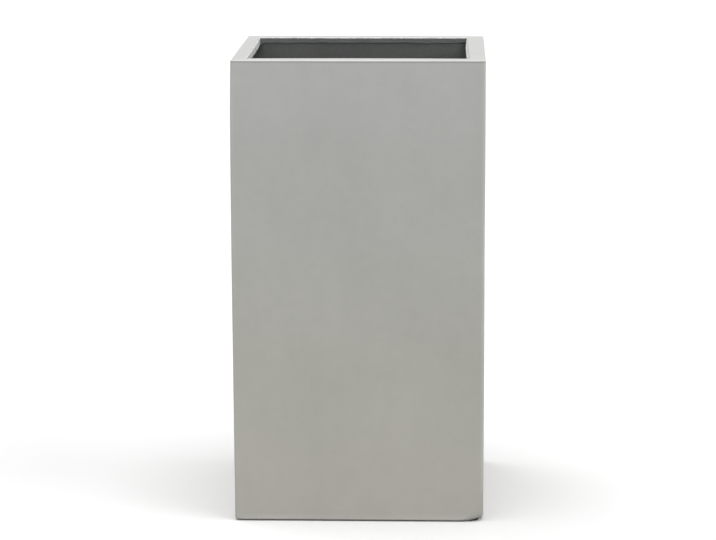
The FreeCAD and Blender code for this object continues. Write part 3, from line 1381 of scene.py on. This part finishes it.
    def build(self, material: bpy.types.Material) -> bpy.types.Object:
        """Weaves the shell, as one closed skin, and dresses it.

        Args:
            material: Its finish.

        Returns:
            The piece.
        """
        body, skin = self.body, Skin("outer_shell_skin")
        foot, top = body.low.z, body.high.z
        inner_foot, inner_top = foot + body.coat, top - body.coat
        rings = self.outer_rings()
        shade_rings = [self.trimmed_mouth(-inset, top) for inset in self.mouth_shade_insets]
        rings += between(rings[-1], shade_rings[0], self.rim_steps) + shade_rings
        shade_end = len(rings) - 1
        lip_top = self.trimmed_mouth(-self.arris_size, top)
        lip_edge = self.trimmed_mouth(0.0, top - self.arris_size)
        lip_under = self.trimmed_mouth(0.0, inner_top)
        upper = ring(body.outside(inner_top), inner_top, body.coat)
        lower = body.foot_arc(body.coat)[::-1]
        rings += [lip_top, lip_edge, lip_under] + between(lip_under, upper, FLAT_STEPS) + [upper]
        rings += between(upper, lower[0], BACK_STEPS) + lower
        hole_top = ring(body.foot_opening(), inner_foot)
        hole_low = ring(body.foot_opening(), foot)
        rings += between(lower[-1], hole_top, FLAT_STEPS) + [hole_top, hole_low]
        rings += between(hole_low, rings[0], WIDE_STEPS)
        # The painted shade line beside the mouth lies between its two faded sides;
        #         # the two rings after it are the arris, which gets a painted highlight.
        for index, points in enumerate(rings):
            masks = {Mask.WEAR_AND_HIGHLIGHT: self.wear_and_highlight_mask(points)}
            # The arris's two rings get a painted highlight.
            if shade_end < index <= shade_end + 2:
                masks[Mask.WEAR_AND_HIGHLIGHT] = np.maximum(masks[Mask.WEAR_AND_HIGHLIGHT], self.arris)
            if shade_end - len(shade_rings) + 1 < index < shade_end:
                masks[Mask.MOUTH_SHADE] = self.mouth_shade_mask(points)
            skin.add(self.sway_walls(points), masks)
        return fit(skin.weave(), material, "planter", "outer_shell")


@dataclass
class InnerLaminate:
    """The dark lining of walls, rim and foot, and the lip that turns down.

    Attributes:
        body: The planter's form.
        lip_thickness: Thickness of the turned-down lip.
        trim_front: Height of the lip's lower edge at the front.
        trim_back: The same at the back.
        left_front: How much lower it hangs along the left side, at the front.
        left_back: The same at the back.
        left_fade: Width over which that fades along the front and the back.
        ragged_more: How much more ragged the trim is halfway from front to back.
        ragged_edges: How far from there this is full, and where it would end,
            as shares of the planter's depth.
        under_rim_cove: Radius where the walls meet the rim's underside.
        lumps: How far the hand-laid surface wanders.
        cove_steps: Parts of that cove.
        wall_steps: Rings down the room's walls.
        trim_ripples: Wander of the lip's lower edge.
        lump_ripple: Lumps of the surface.
        rich: Resin-rich patches.
    """

    body: BodyForm
    lip_thickness: float = 3.0 * MM
    trim_front: float = 12.0 * MM
    trim_back: float = 8.5 * MM
    left_front: float = 1.2 * MM
    left_back: float = 2.8 * MM
    left_fade: float = 12.0 * MM
    ragged_more: float = 0.8
    ragged_edges: Span = (0.2, 0.6)
    under_rim_cove: float = 6.0 * MM
    lumps: float = 0.6 * MM
    cove_steps: int = 5
    wall_steps: int = 61
    trim_ripples: tuple[Ripple, ...] = (
        Ripple(34 * MM, 11.0, 0.9 * MM, FLAT),
        Ripple(10 * MM, 12.0, 0.4 * MM, FLAT),
    )
    lump_ripple: Ripple = Ripple(45 * MM, 14.0, 0.5)
    rich: Ripple = Ripple(60 * MM, 15.0, 1.5)

    def trim_line(self, points: np.ndarray) -> np.ndarray:
        """Height of the lip's lower edge at each point, sloping and uneven.

        Args:
            points: The points, X, Y and Z.

        Returns:
            The heights.
        """
        low, high = self.body.low.y, self.body.high.y
        share = (points[:, 1] - low) / (high - low)
        depth = self.trim_front + (self.trim_back - self.trim_front) * share
        beside = near(points[:, 0] - self.body.mouth(0.0).left, self.left_fade)
        depth += beside * (self.left_front + (self.left_back - self.left_front) * share)
        full, gone = self.ragged_edges
        ragged = 1.0 + self.ragged_more * past(np.abs(share - 0.5), gone, full)
        wander = sum(ripple.at(points) for ripple in self.trim_ripples)
        return self.body.high.z - depth + ragged * wander

    def lump(self, points: np.ndarray) -> np.ndarray:
        """Moves points of the room's walls a little, towards the room.

        Args:
            points: The points, X, Y and Z.

        Returns:
            The points, moved.
        """
        amount = self.lumps * self.lump_ripple.patches(points)
        inward = -points
        inward[:, 2] = 0.0
        return points + inward / np.linalg.norm(inward, axis=1)[:, None] * amount[:, None]

    def build(self, material: bpy.types.Material) -> bpy.types.Object:
        """Weaves the lining, as one closed skin, and dresses it.

        Args:
            material: Its finish.

        Returns:
            The piece.
        """
        body, skin = self.body, Skin("inner_laminate_skin")
        shell_gap = body.coat + CLEAR
        foot, top = body.low.z + shell_gap, body.high.z - shell_gap
        floor, ceiling = body.low.z + body.wall, body.high.z - body.wall
        mouth_top = ring(body.mouth(-CLEAR), top)
        trim = self.trim_line(mouth_top)
        mouth_low = ring(body.mouth(-CLEAR), trim)
        lip_back = ring(body.mouth(-self.lip_thickness), trim)
        lip_root = ring(body.mouth(-self.lip_thickness), ceiling)
        rings = [mouth_top, mouth_low, lip_back] + between(lip_back, lip_root, 1) + [lip_root]
        cove = []
        for angle in quarter(self.cove_steps):
            inset = self.under_rim_cove * (1 - math.sin(angle))
            z = ceiling - self.under_rim_cove * (1 - math.cos(angle))
            cove.append(ring(body.room(0.0, z), z, inset))
        rings += between(lip_root, cove[0], NARROW_STEPS) + cove
        heights = np.linspace(ceiling - self.under_rim_cove, floor, self.wall_steps + 1)[1:]
        walls = [ring(body.room(0.0, z), z) for z in heights]
        rings += [self.lump(points) for points in walls[:-1]] + [walls[-1]]
        hole_top = ring(body.foot_opening(), floor)
        hole_low = ring(body.foot_opening(), foot)
        outer_foot = body.foot_arc(shell_gap)
        outer_top = ring(body.outside(top), top, shell_gap)
        rings += between(walls[-1], hole_top, FLAT_STEPS) + [hole_top, hole_low]
        rings += between(hole_low, outer_foot[0], FLAT_STEPS) + outer_foot
        rings += between(outer_foot[-1], outer_top, BACK_STEPS) + [outer_top]
        rings += between(outer_top, mouth_top, FLAT_STEPS)
        for points in rings:
            skin.add(points, {Mask.RESIN: ease(self.rich.at(points))})
        return fit(skin.weave(), material, "planter", "inner_laminate")


@dataclass
class MouthSeal:
    """Resin brushed over the lip, ragged along its lower edge.

    Attributes:
        body: The planter's form.
        lining: The laminate whose lip it covers.
        thickness: Thickness of the resin.
        thinnest: Thickness where the brush left least.
        fullness: Usual thickness as a share of the whole.
        below_rim: How far it stops short of the rim's top.
        overhang: How far it hangs below the lip.
        drip: How much lower it hangs in drips.
        undercut: How much higher its lower edge is against the lip.
        top_round: Share of its face that is rounded over at the top.
        low_round: Share that is tucked in at the bottom.
        bead: Shares of the face between which the strokes give way to smooth pale
            resin, partly a painted highlight along the lower edge.
        paint_full: How far from the front and the back the overpaint is whole.
        paint_reach: How far from them it ends.
        paint_top: Share of the face over which the overpaint starts.
        smear_from: Share of the face below which paint is smeared.
        face_steps: Rings down its face.
        drips: Pattern of the drips.
        strokes: Pattern of the brush's strokes.
        smears: Patches of the smear.
    """

    body: BodyForm
    lining: InnerLaminate
    thickness: float = 1.5 * MM
    thinnest: float = 0.15 * MM
    fullness: float = 0.78
    below_rim: float = 0.4 * MM
    overhang: float = 1.0 * MM
    drip: float = 0.8 * MM
    undercut: float = 0.3 * MM
    top_round: float = 0.1
    low_round: float = 0.15
    bead: Span = (0.75, 0.9)
    paint_full: float = 5.0 * MM
    paint_reach: float = 8.0 * MM
    paint_top: float = 0.12
    smear_from: float = 0.8
    face_steps: int = 12
    drips: Ripple = Ripple(13 * MM, 22.0, 1.6, FLAT)
    strokes: tuple[Ripple, ...] = (
        Ripple(6 * MM, 23.0, 0.25, (1.0, 1.0, 3.0)),
        Ripple(2.8 * MM, 24.0, 0.2, (1.0, 1.0, 2.0)),
    )
    smears: Ripple = Ripple(18 * MM, 21.0, 0.5)

    def painted(self, points: np.ndarray, share: float) -> np.ndarray:
        """How dark the overpaint is at each point.

        Args:
            points: Points of one ring.
            share: How far down the face the ring is, 0 to 1.

        Returns:
            0 where the resin is bare and 1 where it is painted.
        """
        mouth = self.body.mouth(0.0)
        back = past(mouth.back - points[:, 1], self.paint_reach, self.paint_full)
        front = past(points[:, 1] - mouth.front, self.paint_reach, self.paint_full)
        beside = past(points[:, 0], mouth.left, mouth.left + self.lining.left_fade)
        smear = past(share, self.smear_from, 1.0) * self.smears.patches(points) * beside
        ends = np.maximum(back, front) * past(share, 0.0, self.paint_top)
        return np.clip(np.maximum(ends, smear), 0.0, 1.0)

    def build(self, material: bpy.types.Material) -> bpy.types.Object:
        """Weaves the seal, as one closed skin, and dresses it.

        Args:
            material: Its finish.

        Returns:
            The piece.
        """
        skin = Skin("mouth_seal_skin", smooth_angle=70.0)
        top = self.body.high.z - self.below_rim
        outwards = self.body.mouth(0.0).trace(SIDE_STEPS, CORNER_STEPS)[1]
        edge = ring(self.body.mouth(0.0), top)
        low = self.lining.trim_line(edge) - self.overhang - self.drip * ease(self.drips.at(edge))
        outer_low = ring(self.body.mouth(0.0), low + self.undercut)
        skin.add(outer_low, {Mask.PAINTED: self.painted(outer_low, 1.0)})
        for points in between(outer_low, edge, NARROW_STEPS) + [edge]:
            skin.add(points, {Mask.PAINTED: self.painted(points, 0.0)})
        for share in np.linspace(0.0, 1.0, self.face_steps + 1):
            points = ring(self.body.mouth(0.0), top + (low - top) * share)
            over = max(0.0, 1 - share / self.top_round)
            under = max(0.0, 1 - (1 - share) / self.low_round)
            full = math.sqrt(max(0.0, 1 - max(over, under) ** 2))
            strokes = sum(stroke.at(points) for stroke in self.strokes)
            depth = self.thickness * full * (self.fullness + strokes)
            points[:, :2] -= outwards * np.clip(depth, self.thinnest, self.thickness)[:, None]
            masks = {Mask.PAINTED: self.painted(points, share), Mask.RESIN: past(share, *self.bead)}
            skin.add(points, masks)
        return fit(skin.weave(), material, "planter", "mouth_seal")


@dataclass
class Base:
    """The laminated base with its drain hole, and the bead that bonds it in.

    Attributes:
        body: The planter's form.
        panel_gap: Paste line between the panel and the walls.
        fall: How much lower the top is at the drain.
        border: Level band round the panel's edge.
        drain_radius: Radius of the drain hole.
        drain_round: How far the hole's upper edge is eased.
        drain_chamfer: How far its lower edge is.
        boss_width: Width of the build-up round the hole, under the panel.
        boss_draft: How much narrower the boss is at its lower end.
        seat: Half the level square round the drain.
        seat_corner: Radius of that square's corners.
        seat_fade: Width beside that square over which the lumps fade out.
        edge_fade: Width beside the panel's edge over which they do.
        top_steps: Rings across the panel's falling top.
        under_steps: Rings across its underside.
        bead_radius: Hollow face of the bead.
        bead_steps: Parts of that face.
        bead_rich: How rich in resin the bead is.
        lumps: Lumps of the panel.
        rich: Resin-rich patches of the panel.
        bead_width: Wander of the bead's width.
        bead_height: Wander of its height.
        bead_lumps: Lumps of its face.
    """

    body: BodyForm
    panel_gap: float = 0.6 * MM
    fall: float = 3.0 * MM
    border: float = 26.0 * MM
    drain_radius: float = 12.5 * MM
    drain_round: float = 0.6 * MM
    drain_chamfer: float = 0.5 * MM
    boss_width: float = 11.5 * MM
    boss_draft: float = 3.0 * MM
    seat: float = 26.0 * MM
    seat_corner: float = 4.0 * MM
    seat_fade: float = 20.0 * MM
    edge_fade: float = 12.0 * MM
    top_steps: int = 22
    under_steps: int = 24
    bead_radius: float = 13.0 * MM
    bead_steps: int = 8
    bead_rich: float = 0.6
    lumps: Ripple = Ripple(34 * MM, 31.0, 0.5 * MM)
    rich: Ripple = Ripple(50 * MM, 32.0, 1.5)
    bead_width: Ripple = Ripple(40 * MM, 41.0, 0.07, FLAT)
    bead_height: Ripple = Ripple(25 * MM, 42.0, 0.08, FLAT)
    bead_lumps: Ripple = Ripple(14 * MM, 43.0, 0.25 * MM)

    @property
    def drain_top(self) -> float:
        """Height of the panel's top round the drain."""
        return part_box("base_panel")[1][2] - self.fall

    def circle(self, radius: float, z: float) -> np.ndarray:
        """A level circle, with its points where a ring's points are.

        Args:
            radius: Its radius.
            z: Its height.

        Returns:
            The ring.
        """
        square, _ = self.body.room(0.0, z).trace(SIDE_STEPS, CORNER_STEPS)
        spread = square / np.linalg.norm(square, axis=1)[:, None]
        return np.column_stack([spread * radius, np.full(len(square), z)])

    def square(self, half: float, z: float) -> np.ndarray:
        """A level square with small corners, centred on the drain."""
        return ring(Outline(-half, half, -half, half, (self.seat_corner,) * 4), z)

    def panel_rings(self, low: float, high: float) -> list[np.ndarray]:
        """Rings over the panel's top, down the hole and back under it.

        Args:
            low: Height of the boss's underside.
            high: Height of the panel's level band.

        Returns:
            The rings.
        """
        under = self.body.low.z + self.body.wall
        boss_radius = self.drain_radius + self.boss_width
        edge = ring(self.body.room(self.panel_gap, high), high)
        level = self.square(self.body.high.x - self.body.wall - self.border, high)
        seat = self.square(self.seat, self.drain_top)
        hole = [
            self.circle(self.drain_radius + self.drain_round, self.drain_top),
            self.circle(self.drain_radius, self.drain_top - self.drain_round),
            self.circle(self.drain_radius, low + self.drain_chamfer),
            self.circle(self.drain_radius + self.drain_chamfer, low),
            self.circle(boss_radius - self.boss_draft, low),
            self.circle(boss_radius, under),
        ]
        under_edge = ring(self.body.room(self.panel_gap, under), under)
        rings = between(edge, level, FLAT_STEPS) + [level]
        rings += between(level, seat, self.top_steps) + [seat]
        rings += between(seat, hole[0], NARROW_STEPS) + hole
        return rings + between(hole[-1], under_edge, self.under_steps) + [under_edge, edge]

    def build_panel(self, material: bpy.types.Material) -> bpy.types.Object:
        """Weaves the panel: its top falls to the hole, its underside has a boss.

        Args:
            material: Its finish.

        Returns:
            The piece.
        """
        (*_, low), (*_, high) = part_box("base_panel")
        skin = Skin("base_panel_skin")
        span = self.body.high.x - self.body.wall - self.panel_gap
        for points in self.panel_rings(low, high):
            away = np.max(np.abs(points[:, :2]), axis=1)
            free = past(away, self.seat, self.seat + self.seat_fade)
            free = free * past(away, span, span - self.edge_fade)
            placed = points.copy()
            placed[:, 2] = np.clip(placed[:, 2] + free * self.lumps.at(points), low, high)
            skin.add(placed, {Mask.RESIN: ease(self.rich.at(points))})
        return fit(skin.weave(), material, "planter", "base_panel")

    def build_bead(self, material: bpy.types.Material) -> bpy.types.Object:
        """Weaves the coved bead, with the ragged edges of its tape.

        Args:
            material: Its finish.

        Returns:
            The piece.
        """
        skin = Skin("base_bead_skin")
        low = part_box("base_bead")[0][2] + CLEAR
        outline = self.body.room(CLEAR, low)
        foot = ring(outline, low)
        width = self.bead_radius * self.bead_width.patches(foot)
        height = self.bead_radius * self.bead_height.patches(foot)
        skin.add(foot)
        for angle in quarter(self.bead_steps):
            inset = width * (1 - math.sin(angle))
            cove = ring(outline, low + height * (1 - math.cos(angle)), inset)
            cove[:, 2] += ease(math.sin(2 * angle)) * self.bead_lumps.at(cove)
            skin.add(cove, {Mask.RESIN: self.bead_rich})
        skin.flip()
        return fit(skin.weave(), material, "planter", "base_bead")


def turned(profile: list[Span], centre: Vector, points: int) -> list[np.ndarray]:
    """Rings of a turned piece.

    Args:
        profile: Radius and height of each ring, from the bottom up.
        centre: Where the axis stands; heights count from its Z.
        points: Points round each ring.

    Returns:
        The rings.
    """
    angles = np.arange(points) / points * 2 * math.pi
    circle = np.column_stack([np.cos(angles), np.sin(angles)])
    rings = []
    for radius, height in profile:
        level = np.full(points, centre.z + height)
        rings.append(np.column_stack([circle * radius + [centre.x, centre.y], level]))
    return rings


def rounded_corner(
    start: Span, corner: Span, end: Span, radius: float, steps: int = 4
) -> list[Span]:
    """Points of a profile's corner, eased by a curve that starts radius away.

    Args:
        start: The profile's point before the corner.
        corner: The corner.
        end: The point after it.
        radius: How far from the corner the curve starts.
        steps: How many parts the curve has.

    Returns:
        The points of the curve.
    """
    at = Vector(corner)
    first = at + (Vector(start) - at).normalized() * radius
    last = at + (Vector(end) - at).normalized() * radius
    shares = [step / steps for step in range(steps + 1)]
    curve = [first * (1 - s) ** 2 + at * 2 * s * (1 - s) + last * s**2 for s in shares]
    return [tuple(point) for point in curve]


def eased_profile(corners: list[Span], radii: tuple[float, ...]) -> list[Span]:
    """A profile whose inner corners are eased; its two ends stay as they are.

    Args:
        corners: Radius and height of each corner.
        radii: How far from each inner corner its curve starts, in mm.

    Returns:
        The eased profile.
    """
    points = [corners[0]]
    for index, radius in enumerate((size * MM for size in radii), start=1):
        points += rounded_corner(corners[index - 1], corners[index], corners[index + 1], radius)
    return points + [corners[-1]]


@dataclass
class DrainPlug:
    """The rubber plug: a grooved neck, a bevelled head and an upright tab.

    Attributes:
        seat: Height of the panel that its head rests on.
        neck: Radius under the head.
        taper: How much less the nose's radius is.
        head: Radius of the head.
        head_thickness: Thickness of the head.
        bevel: Bevel round the head's top.
        groove: Depth of the groove round the neck.
        groove_height: Height of that groove.
        tab_width: Width of the tab.
        tab_thickness: Thickness of the tab.
        tab_flare: How far the tab flares out where it grows from the head.
        tab_sunk: How deep it starts inside the head.
        tab_crown: Share of the quarter turn that its round top is drawn over.
        tab_thinning: How late towards its top the tab gets thinner; more is later.
        tab_corner: Radius of its corners as a share of its half thickness.
        eases: How far each corner of the turned body is eased, in mm.
        turn_steps: Points round the turned body.
        tab_steps: Points along each side and round each corner of the tab.
        flare_steps: Rings up the tab's flare.
        crown_steps: Parts of its round top.
    """

    seat: float
    neck: float = 12.42 * MM
    taper: float = 1.0 * MM
    head: float = 19.0 * MM
    head_thickness: float = 3.5 * MM
    bevel: float = 1.5 * MM
    groove: float = 0.7 * MM
    groove_height: float = 1.2 * MM
    tab_width: float = 16.0 * MM
    tab_thickness: float = 4.0 * MM
    tab_flare: float = 1.6 * MM
    tab_sunk: float = 0.3 * MM
    tab_crown: float = 0.97
    tab_thinning: float = 1.6
    tab_corner: float = 0.8
    eases: tuple[float, ...] = (0.6, 0.25, 0.2, 0.2, 0.25, 0.2, 0.4, 0.6, 0.7)
    turn_steps: int = 96
    tab_steps: int = 5
    flare_steps: int = 6
    crown_steps: int = 11

    def neck_radius(self, share: float) -> float:
        """Radius of the neck at a share of its height."""
        return self.neck - self.taper * (1 - share)

    def body_rings(self, low: float) -> list[np.ndarray]:
        """Rings of the turned body, from its nose to the middle of its head.

        Args:
            low: Height of the nose.

        Returns:
            The rings.
        """
        tall = self.seat - low
        middle, half = tall / 2, self.groove_height / 2
        under, over = middle - half, middle + half
        core = self.neck_radius(0.5) - self.groove
        top = tall + self.head_thickness
        corners = [
            (self.neck_radius(0.0) * CAP_SHARE, 0.0),
            (self.neck_radius(0.0), 0.0),
            (self.neck_radius(under / tall), under),
            (core, under),
            (core, over),
            (self.neck_radius(over / tall), over),
            (self.neck, tall),
            (self.head, tall),
            (self.head, top - self.bevel),
            (self.head - self.bevel, top),
            (self.head * CAP_SHARE, top),
        ]
        return turned(eased_profile(corners, self.eases), Vector((0.0, 0.0, low)), self.turn_steps)

    def tab_rings(self, low: float, high: float) -> list[np.ndarray]:
        """Rings of the tab, from inside the head to its round top.

        Args:
            low: Height where it starts, inside the head.
            high: Height of its top.

        Returns:
            The rings.
        """
        half, thick = self.tab_width / 2, self.tab_thickness / 2
        shoulder = high - half
        rings = []
        for share in np.linspace(0.0, 1.0, self.flare_steps):
            grown = self.tab_flare * (1 - math.sqrt(1 - (1 - share) ** 2))
            rings.append(self.tab_section(half + grown, thick + grown, low + self.tab_flare * share))
        rings.append(self.tab_section(half, thick, shoulder))
        for angle in self.tab_crown * quarter(self.crown_steps)[1:]:
            width = half * math.cos(angle)
            narrow = thick * math.sqrt(min(1.0, self.tab_thinning * math.cos(angle)))
            z = shoulder + half * math.sin(angle)
            rings.append(self.tab_section(width, min(narrow, width), z))
        return rings

    def tab_section(self, half_width: float, half_thickness: float, z: float) -> np.ndarray:
        """A level section of the tab with rounded corners.

        Args:
            half_width: Half its width.
            half_thickness: Half its thickness.
            z: Its height.

        Returns:
            The ring.
        """
        radii = (self.tab_corner * min(half_width, half_thickness),) * 4
        outline = Outline(-half_width, half_width, -half_thickness, half_thickness, radii)
        points = outline.trace(self.tab_steps, self.tab_steps)[0]
        return np.column_stack([points, np.full(len(points), z)])

    def build(self, material: bpy.types.Material) -> bpy.types.Object:
        """Weaves body and tab into one piece and dresses it.

        Args:
            material: Its finish.

        Returns:
            The piece.
        """
        (*_, low), (*_, high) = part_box("drain_plug")
        tab_low = self.seat + self.head_thickness - self.tab_sunk
        parts = {"drain_plug_skin": self.body_rings(low), "drain_plug_tab": self.tab_rings(tab_low, high)}
        pieces = [Skin(name, looped=False, rings=rings).weave() for name, rings in parts.items()]
        with bpy.context.temp_override(active_object=pieces[0], selected_editable_objects=pieces):
            bpy.ops.object.join()
        return fit(pieces[0], material, "plug", "drain_plug")


@dataclass
class FootPads:
    """The four rubber pads, each with a moulded dish underneath.

    Attributes:
        dish_radius: Radius of the dish.
        dish_depth: Depth of the dish.
        dish_slope: Width of the slope round it.
        bevel: Bevel round the pad's underside.
        top_cap: Radius of the cap in its top, as a share of the pad's.
        eases: How far each corner of the pad is eased, in mm.
        turn_steps: Points round the pad.
    """

    dish_radius: float = 5.0 * MM
    dish_depth: float = 0.8 * MM
    dish_slope: float = 0.6 * MM
    bevel: float = 0.8 * MM
    top_cap: float = 0.4
    eases: tuple[float, ...] = (0.3, 0.3, 0.3, 0.3, 0.2)
    turn_steps: int = 72

    def build(self, node: str, material: bpy.types.Material) -> bpy.types.Object:
        """Turns one pad in the place of its solid and dresses it.

        Args:
            node: The solid that it stands for.
            material: Its finish.

        Returns:
            The piece.
        """
        low, high = (Vector(corner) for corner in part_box(node))
        radius, tall = (high.x - low.x) / 2, high.z - low.z
        corners = [
            (self.dish_radius * CAP_SHARE, self.dish_depth),
            (self.dish_radius, self.dish_depth),
            (self.dish_radius + self.dish_slope, 0.0),
            (radius - self.bevel, 0.0),
            (radius, self.bevel),
            (radius, tall),
            (radius * self.top_cap, tall),
        ]
        centre = Vector(((low.x + high.x) / 2, (low.y + high.y) / 2, low.z))
        rings = turned(eased_profile(corners, self.eases), centre, self.turn_steps)
        skin = Skin(node + "_skin", looped=False, rings=rings)
        return fit(skin.weave(), material, "planter", node)


@dataclass(frozen=True)
class Lamp:
    """A distant soft lamp.

    Attributes:
        name: Its name.
        strength: How strong it is.
        origin: The direction that its light comes from.
        spread: Its apparent size in degrees.
        mirrored: Whether surfaces mirror it; a low lamp would glare on the rim.
    """

    name: str
    strength: float
    origin: Triple
    spread: float
    mirrored: bool

    def hang(self) -> None:
        """Puts it in the scene."""
        data = bpy.data.lights.new(self.name, "SUN")
        data.energy = self.strength
        data.angle = math.radians(self.spread)
        lamp = bpy.data.objects.new(self.name, data)
        lamp.rotation_mode = "QUATERNION"
        lamp.rotation_quaternion = Vector(self.origin).to_track_quat("Z", "Y")
        lamp.visible_glossy = self.mirrored
        bpy.context.scene.collection.objects.link(lamp)


@dataclass(frozen=True)
class Studio:
    """A pale floor, soft lamps and the photograph's point of view.

    Attributes:
        eye: Where the camera stands.
        yaw: How far it turns to the right of +Y, in degrees.
        pitch: How far it looks down.
        roll: How far it leans.
        focal_px: Focal length in pixels of the photograph.
        photo_width: Width of the photograph in pixels.
        sensor_width: Width of the camera's sensor in mm.
        floor_half: Half the floor's side.
        walls_light: How bright the surroundings are low down.
        ceiling_light: How bright they are overhead.
        ceiling_from: Height on the unit sphere where low gives way to overhead.
        lamps: The soft lamps.
        floor_tone: The floor's colour as it lights the planter.
        floor_seen: The floor's colour to the eye.
    """

    eye: Triple = (0.148, -4.5, 1.196)
    yaw: float = -1.967
    pitch: float = 10.362
    roll: float = -0.134
    focal_px: float = 2777.2
    photo_width: float = 716.0
    sensor_width: float = 36.0
    floor_half: float = 40.0
    walls_light: float = 0.55
    ceiling_light: float = 0.25
    ceiling_from: Span = (0.45, 0.75)
    lamps: tuple[Lamp, ...] = (
        Lamp("overhead", 2.1, (-0.06, -0.08, 1.0), 45.0, mirrored=True),
        Lamp("front", 1.08, (0.025, -0.99, 0.105), 7.0, mirrored=False),
        Lamp("right", 1.0, (0.76, -0.30, 0.57), 50.0, mirrored=True),
        Lamp("back", 0.7, (-0.72, 0.62, 0.32), 60.0, mirrored=False),
    )
    floor_tone: float = 0.25
    floor_seen: float = 0.84

    def camera(self) -> None:
        """Makes the camera and gives it to the scene."""
        yaw, pitch, roll = (math.radians(a) for a in (self.yaw, self.pitch, self.roll))
        ahead = Vector(
            (math.sin(yaw) * math.cos(pitch), math.cos(yaw) * math.cos(pitch), -math.sin(pitch))
        )
        level = Vector((math.cos(yaw), -math.sin(yaw), 0.0))
        upward = level.cross(ahead)
        right = level * math.cos(roll) + upward * math.sin(roll)
        top = upward * math.cos(roll) - level * math.sin(roll)
        data = bpy.data.cameras.new("view")
        data.sensor_fit = "HORIZONTAL"
        data.sensor_width = self.sensor_width
        data.lens = self.focal_px * data.sensor_width / self.photo_width
        camera = bpy.data.objects.new("view", data)
        turn = Matrix((right, top, -ahead)).transposed().to_4x4()
        camera.matrix_world = Matrix.Translation(self.eye) @ turn
        bpy.context.scene.collection.objects.link(camera)
        bpy.context.scene.camera = camera

    @staticmethod
    def seen_by_eye(sheet: NodeSheet) -> bpy.types.NodeSocket:
        """1 where the eye sees something, straight or in a reflection, and 0 for its light.

        Args:
            sheet: The nodes to add to.

        Returns:
            Its socket.
        """
        path = sheet.node("LightPath", {})
        rays = ("Is Camera Ray", "Is Glossy Ray", "Is Transmission Ray")
        return sheet.run(Sum.HIGHEST, *(path.outputs[name] for name in rays))

    def surroundings(self) -> None:
        """Makes the surroundings: soft pale walls as light, white to the eye."""
        world = bpy.data.worlds.new("studio")
        bpy.context.scene.world = world
        sheet = NodeSheet(world, "Generated")
        light = sheet.remap(
            sheet.along(Axis.Z), self.ceiling_from, (self.walls_light, self.ceiling_light)
        )
        level = sheet.remap(self.seen_by_eye(sheet), (0.0, 1.0), (light, 1.0))
        background = sheet.tree.nodes["Background"]
        background.inputs["Color"].default_value = (1.0, 1.0, 1.0, 1.0)
        sheet.feed(background.inputs["Strength"], level)

    def floor(self) -> None:
        """Lays the pale floor."""
        half = self.floor_half
        mesh = bpy.data.meshes.new("floor")
        corners = [(-half, -half, 0), (half, -half, 0), (half, half, 0), (-half, half, 0)]
        mesh.from_pydata(corners, [], [(0, 1, 2, 3)])
        piece = bpy.data.objects.new("floor", mesh)
        bpy.context.scene.collection.objects.link(piece)
        sheet = NodeSheet.material("floor_white")
        tones = [(tone, tone, tone) for tone in (self.floor_tone, self.floor_seen)]
        material = sheet.dress(sheet.mix(self.seen_by_eye(sheet), *tones), roughness=1.0)
        sheet.tree.nodes["Principled BSDF"].inputs["Specular IOR Level"].default_value = 0.0
        mesh.materials.append(material)

    def build(self) -> None:
        """Sets up the studio."""
        bpy.context.scene.view_settings.view_transform = "Standard"
        self.camera()
        for lamp in self.lamps:
            lamp.hang()
        self.surroundings()
        self.floor()


def main() -> None:
    """Builds the studio and the planter."""
    logging.basicConfig(level=logging.INFO, format="%(name)s %(message)s")
    Studio().build()
    body = BodyForm.from_frame()
    finishes = Finishes.build(body)
    OuterShell(body).build(finishes.face_coat)
    lining = InnerLaminate(body)
    lining.build(finishes.laminate)
    MouthSeal(body, lining).build(finishes.lip)
    base = Base(body)
    base.build_panel(finishes.laminate)
    base.build_bead(finishes.laminate)
    DrainPlug(base.drain_top).build(finishes.rubber)
    pads = FootPads()
    for node in sorted(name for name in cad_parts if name.startswith("foot_pad")):
        pads.build(node, finishes.rubber)
    log.info("boxes written")


if __name__ == "__main__":
    main()
